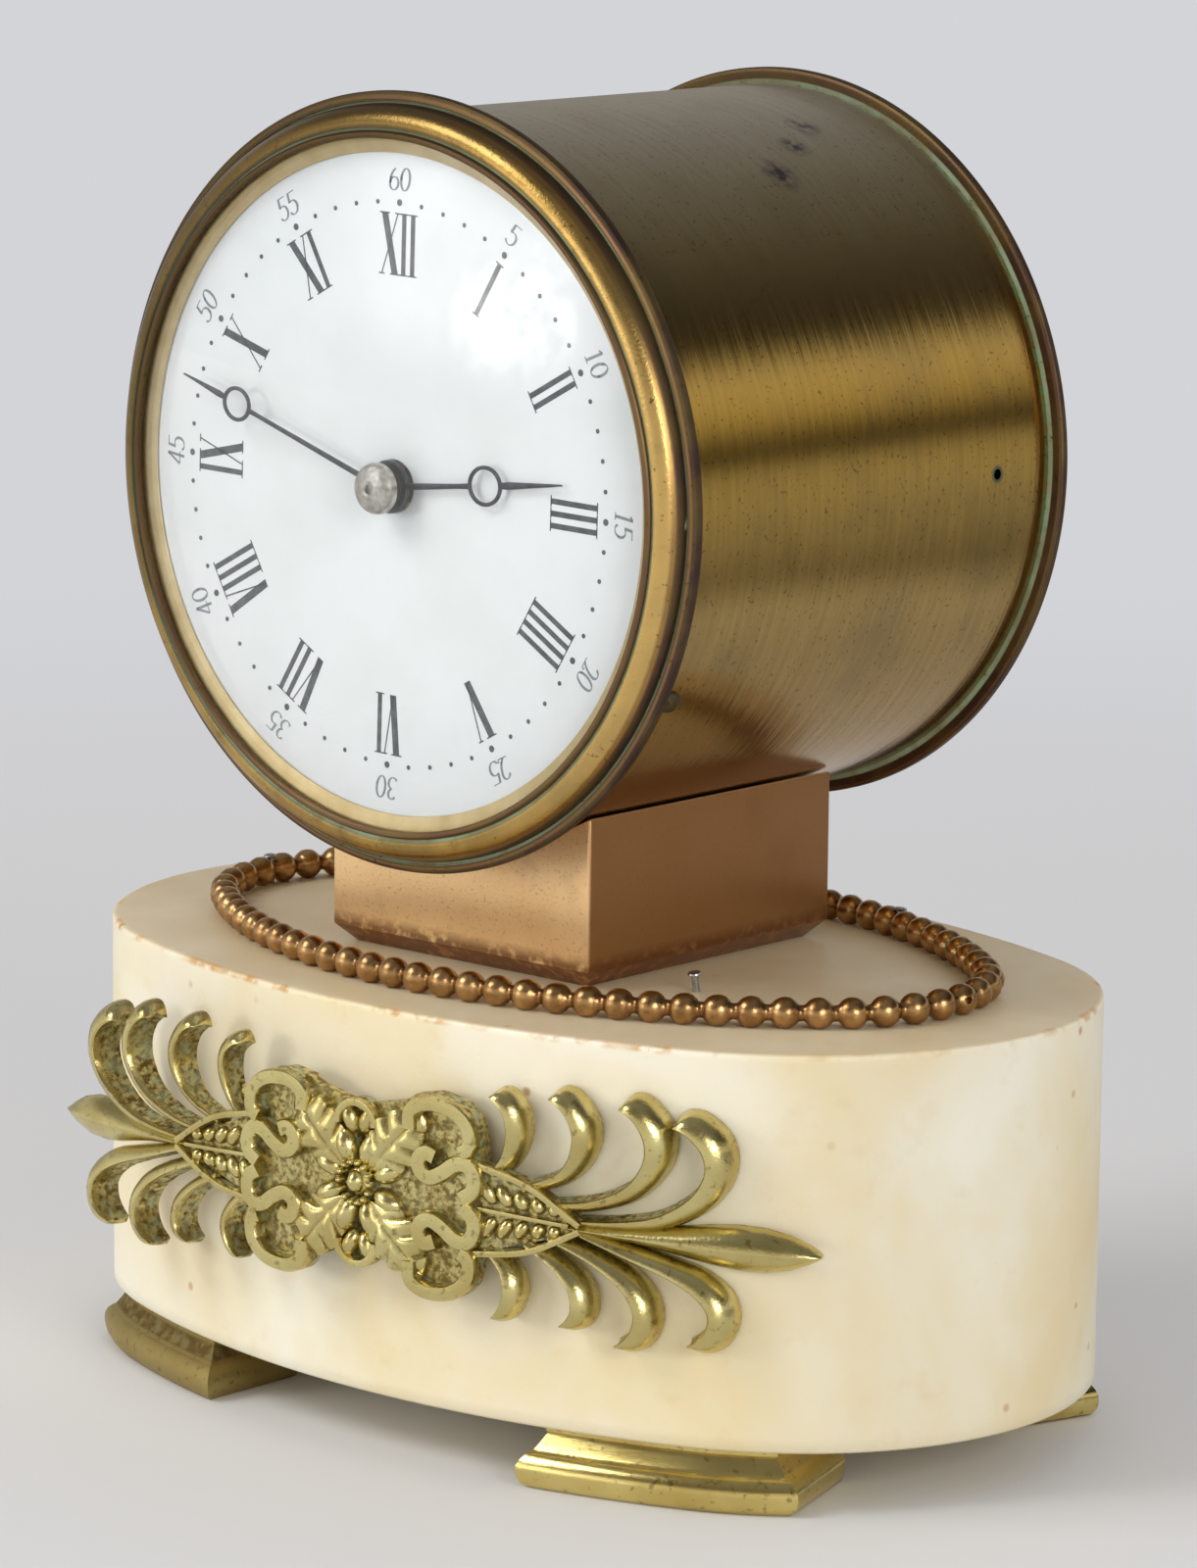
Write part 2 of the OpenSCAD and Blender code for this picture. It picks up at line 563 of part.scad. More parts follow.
// Fixed hinge leaves on the drum's side, and the pins of both hinges
module leaf(y, back) {
    s = back ? -1 : 1;
    difference() {
        intersection() {
            pipe(s > 0 ? y + 0.2 : y - leaf_depth, s > 0 ? y + leaf_depth : y - 0.2,
                drum_r + leaf_t, drum_r);
            translate([-drum_r - 2, y - leaf_depth - 1, -knuckle_h * 1.5 - run])
                cube([4, 2 * leaf_depth + 2, knuckle_h * 3 + 2 * run]);
        }
        translate([hinge_x, y, -knuckle_h / 2 - run])
            cylinder(h = knuckle_h + 2 * run, r = knuckle_r + 0.15);
    }
    for (z = [-knuckle_h * 1.5 - run, knuckle_h / 2 + run]) difference() {
        union() {
            translate([hinge_x, y, z]) cylinder(h = knuckle_h, r = knuckle_r);
            translate([hinge_x - 0.2, s > 0 ? y : y - 1, z]) cube([knuckle_r + 0.05, 1, knuckle_h]);
        }
        translate([hinge_x, y, z - 1]) cylinder(h = knuckle_h + 2, r = pin_r);
    }
}
module hinge_leaves() color("darkgoldenrod") in_head() {
    leaf(bezel_hinge_y, false);
    leaf(door_hinge_y, true);
}
module hinge_pins() color("gray") in_head() for (y = [bezel_hinge_y, door_hinge_y])
    translate([hinge_x, y, -knuckle_h * 1.5 - 0.4]) cylinder(h = 3 * knuckle_h + 0.8, r = pin_r);

// Rear door: a turned rim and a slightly domed panel, hinged at the same side
door_profile = [for (p = [[0, 2.4], [20, 2.2], [38, 1.5], [42, 1.9], [44, 1.9], [45, 1.3],
    [door_rim_r - 0.8, 1.6], [door_rim_r, 1.2], [door_rim_r, 0.3], [door_rim_r - 0.3, 0],
    [44, 0], [43, 0.6], [38, 0.5], [20, 1.2], [0, 1.4]]) [p[0], door_face + p[1]]];
door_knob_x = 38.5;
module rear_door() color("darkgoldenrod") in_head() {
    difference() {
        turned(door_profile);
        translate([door_knob_x, 0, 0]) rod(door_face - 1, door_face + 4, 1 + run);
    }
    knuckle(door_hinge_y, door_face + 0.2);
    mirror([0, 1, 0]) catch_tongue(-door_face - 0.4, -door_face + 3.4);
}
knob_profile = [[0, -0.6], [1.8, -0.6], [1.8, 0.3], [1, 0.3], [1, 1.75], [1.6, 1.75], [1.3, 2.6],
    [2.2, 3.6], [2.2, 4.4], [1.6, 5], [0, 5.1]];
module door_knob() color("goldenrod") in_head() translate([door_knob_x, door_face, 0])
    turned(knob_profile);

// Dial: enamelled disc with three feet, pinned behind the front plate
module dial() color("white") in_head() {
    pipe(dial_front, dial_back, dial_r, hour_pipe_r + 0.9);
    for (a = dial_foot_a) rotate([0, -a, 0]) translate([dial_foot_r, 0, 0]) difference() {
        rod(dial_back - 0.2, front_plate_back + 2.6, 1.1);
        translate([0, front_plate_back + 1, -3]) cylinder(h = 6, r = 0.4);
    }
}
module dial_pins() color("gray") in_head() for (a = dial_foot_a) rotate([0, -a, 0])
    translate([dial_foot_r, front_plate_back + 1, -3]) cylinder(h = 6, r = 0.38);

// Hands: an open ring near the tip, a thin stem and a drop point, at about 12 minutes to 3
time_m = 48;
time_h = 2.8;
hand_t = 0.3;
module hand_shape(length, ring_at, ring_r, stem) {
    difference() {
        union() {
            polygon([[-stem, 0], [-stem * 0.7, ring_at - ring_r + 0.4],
                [stem * 0.7, ring_at - ring_r + 0.4], [stem, 0]]);
            translate([0, ring_at]) circle(r = ring_r);
            polygon([[-stem * 1.1, ring_at + ring_r - 0.2], [-0.15, length], [0.15, length],
                [stem * 1.1, ring_at + ring_r - 0.2]]);
        }
        translate([0, ring_at]) circle(r = ring_r - 0.55);
    }
}
module minute_hand() color("darkslategray") in_head() rotate([0, time_m * 6, 0]) difference() {
    union() {
        slab(minute_hand_y - hand_t, minute_hand_y) hand_shape(37, 27, 2.35, 0.45);
        rod(minute_hand_y - hand_t, minute_hand_y + 0.4, 2.2);
    }
    rod(minute_hand_y - 3, minute_hand_y + 3, cannon_pipe_r);
}
module hour_hand() color("darkslategray") in_head() rotate([0, time_h * 30, 0]) difference() {
    union() {
        slab(hour_hand_y - hand_t, hour_hand_y) hand_shape(29.7, 16.7, 2.7, 0.5);
        rod(hour_hand_y - hand_t, hour_hand_y + 0.5, 3.4);
    }
    rod(hour_hand_y - 3, hour_hand_y + 3, hour_pipe_r);
}
module hand_nut() color("silver") in_head() difference() {
    turned([[0, nut_front], [1.2, nut_front + 0.1], [2.4, nut_front + 0.5], [3.1, nut_front + 1.2],
        [3.3, nut_front + 1.6], [3.3, minute_hand_y - hand_t - 0.2],
        [0, minute_hand_y - hand_t - 0.2]]);
    rod(nut_front + 0.8, minute_hand_y + 1, setting_r);
}

// Movement plates, pillars and screws
module pivots(list, r) for (p = list) at(p) rod(-60, 60, r);
module front_plate() color("goldenrod") in_head() {
    difference() {
        rod(front_plate_front, front_plate_back, drum_bore - slip);
        rod(-60, 60, pipe_r + run);
        pivots([barrel_at], barrel_pivot_r + run);
        pivots([third_at, fourth_at, escape_at], pivot_r + run);
        pivots([for (p = pillar_at) p], 1.3 + run);
        for (a = dial_foot_a) rotate([0, -a, 0]) translate([dial_foot_r, 0, 0]) rod(-60, 60, 1.1 + run);
        for (a = [case_screw_a, 180 - case_screw_a]) rotate([0, a, 0])
            translate([drum_bore - 6, case_screw_y, 0]) rotate([0, 90, 0])
                cylinder(h = 8, r = 0.75);
    }
    at(minute_at) rod(minute_leaves_y - 0.5, front_plate_front + 0.2, 0.75);
}
module back_plate() color("goldenrod") in_head() difference() {
    rod(back_plate_front, back_plate_back, plate_r);
    rod(-60, 60, pipe_r + run);
    pivots([barrel_at], barrel_pivot_r + run);
    pivots([third_at, fourth_at, balance_at], pivot_r + run);
    pivots([escape_at], 1.6);
    pivots([lever_at], pivot_r + run);
    pivots([for (p = pillar_at) p], 1.1 + run);
    pivots(bridge_screw_at, 0.8);
}
module pillars() color("goldenrod") in_head() for (p = pillar_at) at(p) difference() {
    union() {
        turned([[0, front_plate_back], [pillar_r, front_plate_back],
            [pillar_r, front_plate_back + 2], [1.7, front_plate_back + 3],
            [1.7, back_plate_front - 3], [pillar_r, back_plate_front - 2],
            [pillar_r, back_plate_front], [0, back_plate_front]]);
        rod(front_plate_front - 0.6, front_plate_back + 1, 1.3);
    }
    rod(back_plate_front - 6, back_plate_front + 1, 0.9);
}
module slotted_screw(y0, y1, head_y, shank, head) difference() {
    union() {
        rod(y0, head_y + 0.1, shank);
        rod(head_y, y1, head);
    }
    translate([-head - 1, y1 - 0.5, -0.25]) cube([2 * head + 2, 1, 0.5]);
}
module plate_screws() color("steelblue") in_head() for (p = pillar_at) at(p)
    slotted_screw(back_plate_front - 5, back_plate_back + 1.4, back_plate_back, 0.9, 2.2);

// Going barrel: toothed drum, cover, arbor with a winding square, and the coiled spring
module barrel() color("goldenrod") in_head() at(barrel_at) {
    difference() {
        union() {
            slab(great_y, barrel_front) wheel_outline(barrel_teeth, barrel_m, barrel_dir + 180);
            rod(barrel_front - 0.1, barrel_back, barrel_r);
        }
        rod(barrel_front + 0.2, barrel_back + 1, barrel_r - barrel_wall);
        rod(great_y - 1, barrel_back, barrel_arbor_r + run);
    }
}
module barrel_cover() color("goldenrod") in_head() at(barrel_at)
    pipe(barrel_back - 1, barrel_back, barrel_r - barrel_wall, barrel_arbor_r + run);
module barrel_arbor() color("gray") in_head() at(barrel_at) {
    rod(front_plate_front + 0.1, front_plate_back + 0.6, barrel_pivot_r);
    rod(front_plate_back + 0.4, back_plate_front - 0.4, barrel_arbor_r);
    rod(barrel_front + 0.6, barrel_back - 1.4, barrel_core_r);
    rod(back_plate_front - 0.6, back_plate_back + 0.2, barrel_pivot_r);
    slab(back_plate_back + 0.1, setting_end) square(square_w * 0.85, center = true);
}
mainspring_turns = 8;
mainspring_t = 0.6;
module mainspring() color("slategray") in_head() at(barrel_at) slab(barrel_front + 1.2, barrel_back - 2)
    polygon(spiral(barrel_core_r + 0.05,
        (barrel_r - barrel_wall - barrel_core_r - 0.75) / mainspring_turns,
        mainspring_turns, mainspring_t, 24));
ratchet_teeth = 30;
ratchet_r = 8;
module ratchet_wheel() color("slategray") in_head() at(barrel_at)
slab(back_plate_back + 0.4, back_plate_back + 2) difference() {
    polygon([for (i = [0:ratchet_teeth - 1]) for (c = [[ratchet_r - 0.8, 0], [ratchet_r, 0.06]])
        let (a = 360 / ratchet_teeth * (i + c[1])) [c[0] * cos(a), c[0] * sin(a)]]);
    square(square_w * 0.85, center = true);
}
click_at = [barrel_at[0] + 12.6, barrel_at[1] + 2];
click_tip = [-4.3, -2.7];
module click() color("slategray") in_head() at(click_at)
slab(back_plate_back + 0.5, back_plate_back + 1.9) difference() {
    union() {
        circle(r = 2);
        polygon([[-1.4, 1.4], click_tip + [0.1, 0.7], click_tip, [-1.2, -1.6], [1.8, -0.8]]);
    }
    circle(r = 0.8 + run);
}
click_spring_at = [click_at[0] + 6.5, click_at[1] + 8];
module click_spring() color("slategray") in_head() at(click_spring_at)
slab(back_plate_back, back_plate_back + 1.6) difference() {
    union() {
        circle(r = 1.8);
        polygon([[-1.7, 0], [-4.6, -5.4], [-4.1, -5.8], [-0.6, -1.6]]);
    }
    circle(r = 0.8);
}

// Train arbors: leaves and shaft in one piece, pivoted in the plates
module arbor(p, y0, y1, r) at(p) rod(y0, y1, r);
module centre_pinion() color("slategray") in_head() difference() {
    union() {
        rod(front_plate_front + 0.1, back_plate_back - 0.1, pipe_r);
        slab(great_y - 0.6, barrel_front + 0.5)
            pinion_outline(centre_leaves, barrel_m, gap_turn(centre_leaves, 90));
        rod(centre_wheel_y - 1, centre_wheel_y, 3);
    }
    rod(-60, 60, setting_r + run);
}
module centre_wheel() color("goldenrod") in_head() slab(centre_wheel_y, centre_wheel_y + wheel_t)
    crossed(centre_teeth, centre_m, third_dir, 3.4, pipe_r, 1.6);
module third_pinion() color("slategray") in_head() at(third_at) {
    rod(front_plate_front + 0.1, back_plate_back - 0.1, pivot_r);
    rod(front_plate_back + 0.4, back_plate_front - 0.4, 0.9);
    slab(centre_wheel_y - 1, centre_wheel_y + wheel_t + 0.8)
        pinion_outline(third_leaves, centre_m, gap_turn(third_leaves, third_dir));
    rod(third_wheel_y - 1, third_wheel_y, 2);
}
module third_wheel() color("goldenrod") in_head() at(third_at)
    slab(third_wheel_y, third_wheel_y + wheel_t)
    crossed(third_teeth, third_m, fourth_dir, 2.6, 0.9, 1.4);
module fourth_pinion() color("slategray") in_head() at(fourth_at) {
    rod(front_plate_front + 0.1, back_plate_back - 0.1, pivot_r);
    rod(front_plate_back + 0.4, back_plate_front - 0.4, 0.8);
    slab(third_wheel_y - 0.8, third_wheel_y + wheel_t + 0.8)
        pinion_outline(fourth_leaves, third_m, gap_turn(fourth_leaves, fourth_dir));
    rod(fourth_wheel_y - 0.6, fourth_wheel_y, 1.6);
}
module fourth_wheel() color("goldenrod") in_head() at(fourth_at)
    slab(fourth_wheel_y, fourth_wheel_y + wheel_t - 0.2)
    crossed(fourth_teeth, fourth_m, escape_dir, 2, 0.8, 1.2);
module escape_pinion() color("slategray") in_head() at(escape_at) {
    rod(front_plate_front + 0.1, bridge_y + bridge_t - 0.1, 0.45);
    rod(front_plate_back + 0.4, bridge_y - 0.3, 0.5);
    slab(fourth_wheel_y - 0.6, fourth_wheel_y + wheel_t + 0.3)
        pinion_outline(escape_leaves, fourth_m, gap_turn(escape_leaves, escape_dir));
    rod(escape_y - 0.8, escape_y, 1.2);
}
escape_r = 5.5;
module escape_wheel() color("goldenrod") in_head() at(escape_at)
slab(escape_y, escape_y + 0.8) difference() {
    polygon([for (i = [0:escape_teeth - 1])
        for (c = [[4.2, 0], [4.4, 0.42], [escape_r, 0.62], [escape_r, 0.72], [4.5, 0.75]])
        let (a = 360 / escape_teeth * (i + c[1])) [c[0] * cos(a), c[0] * sin(a)]]);
    difference() {
        circle(r = 3.5);
        circle(r = 1.5);
        for (k = [0:3]) rotate(90 * k) translate([0, -0.4]) square([5, 0.8]);
    }
    circle(r = 0.5);
}
// Bridge over the escape wheel and the lever, on one foot
bridge_foot = [escape_at[0] - 8.4, escape_at[1] + 2];
module escape_bridge() color("goldenrod") in_head() difference() {
    union() {
        slab(bridge_y, bridge_y + bridge_t) {
            translate(escape_at) circle(r = 2);
            translate(lever_at) circle(r = 1.8);
            translate([escape_at[0], escape_at[1] - 1.3]) square([lever_at[0] - escape_at[0], 2.6]);
            translate(bridge_foot) circle(r = 2.6);
            polygon([bridge_foot + [0, 2.2], escape_at + [0, 1.9], escape_at + [0, -1.9],
                bridge_foot + [-0.4, -2.4]]);
        }
        at(bridge_foot) rod(back_plate_back, bridge_y + 0.1, 2.6);
    }
    at(escape_at) rod(-60, 60, pivot_r);
    at(lever_at) rod(-60, 60, pivot_r);
    at(bridge_foot) rod(-60, 60, 0.8);
}
// Lever: two pallets, a stem and a fork, with its own arbor
module lever() color("silver") in_head() at(lever_at) {
    slab(escape_y - 0.1, escape_y + 0.9) {
        circle(r = 1.1);
        for (s = [0, 1]) mirror([0, s]) {
            polygon([[0.6, 0.6], [-2, 3.9], [-2.9, 3.7], [-1.7, 3.1], [-0.9, 0.4]]);
            polygon([[6.9, 0.45], [6.9, 1.1], [6.3, 1.2], [5.2, 0.4], [5.6, 0.1]]);
        }
        translate([0, -0.4]) square([5.9, 0.8]);
    }
    rod(back_plate_front + 0.2, bridge_y + bridge_t - 0.1, 0.45);
}
module balance_wheel() color("goldenrod") in_head() at(balance_at)
slab(balance_y, balance_y + 1.1) difference() {
    circle(r = balance_r);
    difference() {
        circle(r = balance_r - 1.1);
        circle(r = 2);
        for (k = [0:2]) rotate(120 * k + 30) translate([0, -0.5]) square([balance_r, 1]);
    }
    circle(r = 0.8);
}
module balance_staff() color("gray") in_head() at(balance_at) {
    rod(back_plate_front + 0.2, cock_y + cock_t - 0.3, 0.45);
    rod(back_plate_back + 0.3, cock_y - 0.3, 0.8);
    rod(escape_y + 1.2, escape_y + 1.8, 1.9);
    rod(spring_y - 0.3, spring_y + 0.9, 1.2);
}
hairspring_turns = 7;
module hairspring() color("steelblue") in_head() at(balance_at) slab(spring_y, spring_y + 0.5)
    polygon(spiral(1.15, 0.62, hairspring_turns, 0.15, 24));
cock_foot = [balance_at[0] + 15.5, balance_at[1] + 3];
module balance_cock() color("goldenrod") in_head() difference() {
    union() {
        slab(cock_y, cock_y + cock_t)
            polygon([balance_at + [0, 2.4], cock_foot + [0, 3], cock_foot + [0, -3],
                balance_at + [0, -2.4]]);
        at(balance_at) rod(cock_y, cock_y + cock_t, 3.2);
        at(cock_foot) rod(back_plate_back, cock_y + cock_t, 4);
    }
    at(balance_at) rod(-60, 60, pivot_r);
    at(cock_foot) rod(-60, 60, 0.8);
}
// Regulator: a ring round the cock's jewel with a pointer that shortens the hairspring
index_y = cock_y + cock_t + 0.05;
module regulator_index() color("steelblue") in_head() at(balance_at) difference() {
    union() {
        rod(index_y, index_y + 0.8, 2.6);
        slab(index_y, index_y + 0.8)
            polygon([[-0.8, 2], [-0.25, 9], [0.25, 9], [0.8, 2], [0.8, -4.6], [-0.8, -4.6]]);
    }
    rod(index_y - 1, index_y + 2, 1.2 + run);
}
bridge_screw_at = [bridge_foot, cock_foot, click_at, click_spring_at];
screw_head_y = [bridge_y + bridge_t, cock_y + cock_t, back_plate_back + 2.1, back_plate_back + 1.6];
module bridge_screws() color("steelblue") in_head() for (i = [0:3]) at(bridge_screw_at[i])
    slotted_screw(back_plate_front + 0.2, screw_head_y[i] + 1, screw_head_y[i], 0.8, 1.5);

// Motion work behind the dial, and the arbor that sets the hands from the back
module cannon_pinion() color("slategray") in_head() difference() {
    union() {
        rod(minute_hand_y - hand_t - 0.1, cannon_y + 1.4, cannon_pipe_r);
        slab(cannon_y, cannon_y + 1.4)
            pinion_outline(cannon_leaves, cannon_m, gap_turn(cannon_leaves, minute_dir + 180));
    }
    rod(-60, 60, setting_r);
}
module setting_arbor() color("gray") in_head() rod(nut_front + 0.9, setting_end, setting_r);
module setting_knob() color("goldenrod") in_head() difference() {
    union() {
        slab(setting_end - 4, setting_end - 0.6)
            polygon([for (i = [0:47]) let (r = i % 2 == 0 ? 5 : 4.7)
                [r * cos(i * 7.5), r * sin(i * 7.5)]]);
        rod(back_plate_back + 0.5, setting_end - 3.9, 2);
    }
    rod(-60, 60, setting_r);
}
module hour_wheel() color("goldenrod") in_head() difference() {
    union() {
        slab(hour_wheel_y, hour_wheel_y + 1) wheel_outline(hour_teeth, hour_m, minute_dir);
        rod(hour_hand_y - hand_t - 0.1, hour_wheel_y + 0.9, hour_pipe_r);
    }
    rod(-60, 60, cannon_pipe_r + run);
}
module minute_wheel() color("goldenrod") in_head() at(minute_at) difference() {
    union() {
        slab(cannon_y + 0.2, cannon_y + 1.2) wheel_outline(minute_teeth, cannon_m, minute_dir + 180);
        slab(minute_leaves_y, cannon_y + 0.3)
            pinion_outline(minute_leaves, hour_m, gap_turn(minute_leaves, minute_dir));
    }
    rod(-60, 60, 0.75 + run);
}

stone_base();
foot(-1, -1);  // foot_front_left
foot(1, -1);  // foot_front_right
foot(-1, 1);  // foot_rear_left
foot(1, 1);  // foot_rear_right
foot_screws();
bead_ring();
bead_ring_nails();
front_mount();
plinth_block();
saddle_block();
tie_bolt();
tie_washer();
tie_nut();
drum_case();
case_screws();
front_bezel();
glass();
sight_ring();
hinge_leaves();
hinge_pins();
rear_door();
door_knob();
dial();
dial_pins();
hour_hand();
minute_hand();
hand_nut();
front_plate();
back_plate();
pillars();
plate_screws();
bridge_screws();
barrel();
barrel_cover();
barrel_arbor();
mainspring();
ratchet_wheel();
click();
click_spring();
centre_pinion();
centre_wheel();
third_pinion();
third_wheel();
fourth_pinion();
fourth_wheel();
escape_pinion();
escape_wheel();
escape_bridge();
lever();
balance_wheel();
balance_staff();
hairspring();
balance_cock();
regulator_index();
cannon_pinion();
setting_arbor();
setting_knob();
hour_wheel();
minute_wheel();
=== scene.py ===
import math

import bmesh
import bpy
from mathutils import Matrix, Vector, noise


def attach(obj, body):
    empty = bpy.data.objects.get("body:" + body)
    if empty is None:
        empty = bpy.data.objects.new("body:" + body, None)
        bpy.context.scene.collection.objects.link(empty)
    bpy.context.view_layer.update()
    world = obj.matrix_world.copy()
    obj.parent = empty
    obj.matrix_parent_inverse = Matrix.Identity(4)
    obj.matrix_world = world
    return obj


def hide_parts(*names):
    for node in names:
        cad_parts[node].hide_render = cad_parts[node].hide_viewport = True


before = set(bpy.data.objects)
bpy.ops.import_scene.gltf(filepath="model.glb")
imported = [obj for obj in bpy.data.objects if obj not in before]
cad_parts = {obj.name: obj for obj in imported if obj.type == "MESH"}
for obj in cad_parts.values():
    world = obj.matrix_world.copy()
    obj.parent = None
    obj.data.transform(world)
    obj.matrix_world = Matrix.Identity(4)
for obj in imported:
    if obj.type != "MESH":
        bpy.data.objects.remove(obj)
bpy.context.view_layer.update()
scene = bpy.context.scene

# Everything is drawn in millimetres, in one of these four places, and turned to metres at the end
headCentre = (-4.9, 8.55, 123.028)
headPlace = Matrix.Translation(headCentre)  # the drum's axis runs along y here
stonePlace = Matrix.Translation((0, 2.75, 0))
plinthPlace = Matrix.Translation((-4.9, 5.45, 0))
mountPlace = Matrix.Translation((4.5, -46.55, 0)) @ Matrix.Rotation(math.radians(6.1), 4, "Z")
toMetres = Matrix.Scale(0.001, 4)
fullTurn = 2 * math.pi


def newMesh():  # "mark" is the wear that a material reads, from 0 to 1
    bm = bmesh.new()
    bm.verts.layers.float.new("mark")
    return bm


def setMarks(bm, markOf):  # markOf takes a vertex's distance from the axis and its y
    layer = bm.verts.layers.float["mark"]
    for vert in bm.verts:
        vert[layer] = markOf(math.hypot(vert.co.x, vert.co.z), vert.co.y)


def rollGrid(bm, rows, marks=None, loop=False):  # closed rings of points, joined one to the next
    if loop:
        rows = rows + [rows[0]]
    else:  # a ring shrunk to its middle closes each end
        ends = [sum(row, Vector((0, 0, 0))) / len(row) for row in (rows[0], rows[-1])]
        rows = [[ends[0]] * len(rows[0])] + rows + [[ends[1]] * len(rows[0])]
        marks = [marks[0]] + marks + [marks[-1]] if marks else None
    count = len(rows[0])
    verts = bmesh.ops.create_grid(bm, x_segments=count, y_segments=len(rows) - 1, size=1)["verts"]
    layer = bm.verts.layers.float.get("mark")
    for k, vert in enumerate(verts):
        row, place = k // (count + 1), k % (count + 1) % count
        vert.co = rows[row][place]
        if marks:
            mark = marks[row % len(marks)]
            vert[layer] = mark[place] if isinstance(mark, (list, tuple)) else mark


def turned(bm, profile, steps=192, loop=True, place=None):  # (radius, y) points spun about y
    before = set(bm.verts)
    verts = [bm.verts.new((radius, along, 0)) for radius, along in profile]
    pairs = zip(verts, verts[1:] + verts[:1]) if loop else zip(verts, verts[1:])
    edges = [bm.edges.new(pair) for pair in pairs]
    bmesh.ops.spin(bm, geom=verts + edges, cent=(0, 0, 0), axis=(0, 1, 0), angle=fullTurn,
                   steps=steps, use_merge=True)
    if place:
        bmesh.ops.transform(bm, matrix=place, verts=[v for v in bm.verts if v not in before])


def block(bm, low, high):
    low, high = Vector(low), Vector(high)
    bmesh.ops.create_cube(bm, size=1, matrix=Matrix.LocRotScale((low + high) / 2, None, high - low))


def raised(bm, corners, rise):  # a flat patch given a thickness; returns all its vertices
    face = bm.faces.new([bm.verts.new(corner) for corner in corners])
    low = list(face.verts)
    made = bmesh.ops.extrude_face_region(bm, geom=[face])["geom"]
    high = [g for g in made if isinstance(g, bmesh.types.BMVert)]
    bmesh.ops.translate(bm, vec=(0, -rise, 0), verts=high)
    return low + high


def smoothLine(points, steps):  # a curve through the points, of any number of values each
    points = [Vector(p) for p in points]
    ends = [2 * points[0] - points[1]] + points + [2 * points[-1] - points[-2]]
    line = []
    for k in range(len(points) - 1):
        a, b, c, d = ends[k:k + 4]
        for i in range(steps):
            t = i / steps
            line.append((2 * b + (c - a) * t + (2 * a - 5 * b + 4 * c - d) * t ** 2
                         + (3 * b - a - 3 * c + d) * t ** 3) / 2)
    return line + [points[-1]]


def sideOf(line, k):  # the way square to a line at its point k
    way = Vector(line[min(k + 1, len(line) - 1)][:2]) - Vector(line[max(k - 1, 0)][:2])
    return Vector((way.y, -way.x)).normalized()


def meshFrom(name, bm, place):  # normals outward, in metres, in its place
    bmesh.ops.recalc_face_normals(bm, faces=bm.faces)
    bmesh.ops.transform(bm, matrix=toMetres @ place, verts=bm.verts)
    mesh = bpy.data.meshes.new(name)
    bm.to_mesh(mesh)
    bm.free()
    made = bpy.data.objects.new(name, mesh)
    scene.collection.objects.link(made)
    return made


def finishPiece(name, bm, place, body, material, replaces=(), sharp=32):
    bmesh.ops.remove_doubles(bm, verts=bm.verts, dist=0.0005)
    piece = meshFrom(name, bm, place)
    piece.data.shade_smooth()
    piece.data.set_sharp_from_angle(angle=math.radians(sharp))
    piece.data.materials.append(material)
    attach(piece, body)
    if replaces:
        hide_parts(*replaces)
    print("made", name, len(piece.data.polygons))
    return piece


def cutAway(piece, bm, place):  # takes a closed shape away from a finished piece
    cutter = meshFrom("cutter", bm, place)
    cut = piece.modifiers.new("cut", "BOOLEAN")
    cut.object, cut.operation, cut.solver = cutter, "DIFFERENCE", "EXACT"
    whole = bpy.data.meshes.new_from_object(piece.evaluated_get(bpy.context.evaluated_depsgraph_get()))
    piece.modifiers.clear()
    whole.name = piece.name
    piece.data = whole
    bpy.data.objects.remove(cutter)


def linear(code):  # "#rrggbb" as it looks on a screen, turned to light
    parts = [int(code[k:k + 2], 16) / 255 for k in (1, 3, 5)]
    return [p / 12.92 if p < 0.04045 else ((p + 0.055) / 1.055) ** 2.4 for p in parts] + [1]


def addNode(tree, kind, inputs=None, out=0, stops=(), **settings):  # returns an output, or all for None
    made = tree.nodes.new("ShaderNode" + kind)
    for key, value in settings.items():
        setattr(made, key, value)
    for key, value in (inputs or {}).items():
        if isinstance(value, bpy.types.NodeSocket):
            tree.links.new(value, made.inputs[key])
        else:
            made.inputs[key].default_value = linear(value) if isinstance(value, str) else value
    for k, (at, code) in enumerate(stops):
        elements = made.color_ramp.elements
        element = elements[k] if k < len(elements) else elements.new(at)
        element.position, element.color = at, linear(code)
    return made.outputs if out is None else made.outputs[out]


def newMaterial(name, **sockets):
    material = bpy.data.materials.new(name)
    material.use_nodes = True
    tree = material.node_tree
    shader = tree.nodes["Principled BSDF"]
    for key, value in sockets.items():
        shader.inputs[key.replace("_", " ")].default_value = linear(value) if isinstance(value, str) else value
    return material, tree, shader


def objectPoint(tree, centre=(0, 0, 0), stretch=(1, 1, 1)):  # Object coordinates in mm from centre
    return addNode(tree, "Mapping", {
        "Vector": addNode(tree, "TexCoord", out="Object"), "Scale": [1000 * s for s in stretch],
        "Location": [-c * s for c, s in zip(centre, stretch)]})


def maskOf(tree, point, *parts):  # multiplies masks, plain shares and noises
    mask = None
    for part in parts:
        if isinstance(part, tuple):  # a noise: size in mm, the two levels it is cut between, and its detail
            size, low, high, *detail = part
            cloud = addNode(tree, "TexNoise", {"Vector": point, "Scale": 1 / size, "Roughness": 0.55,
                                               "Detail": detail[0] if detail else 3})
            part = addNode(tree, "MapRange", {0: cloud, 1: low, 2: high})
        mask = part if mask is None else addNode(tree, "Math", {0: mask, 1: part}, operation="MULTIPLY",
                                                 use_clamp=True)
    return mask


def stained(tree, point, colour, *layers):  # each layer has the parts of its mask, then what it lays on
    for *parts, shade in layers:
        colour = addNode(tree, "Mix", {0: maskOf(tree, point, *parts), 6: colour, 7: shade}, out=2,
                         data_type="RGBA")
    return colour


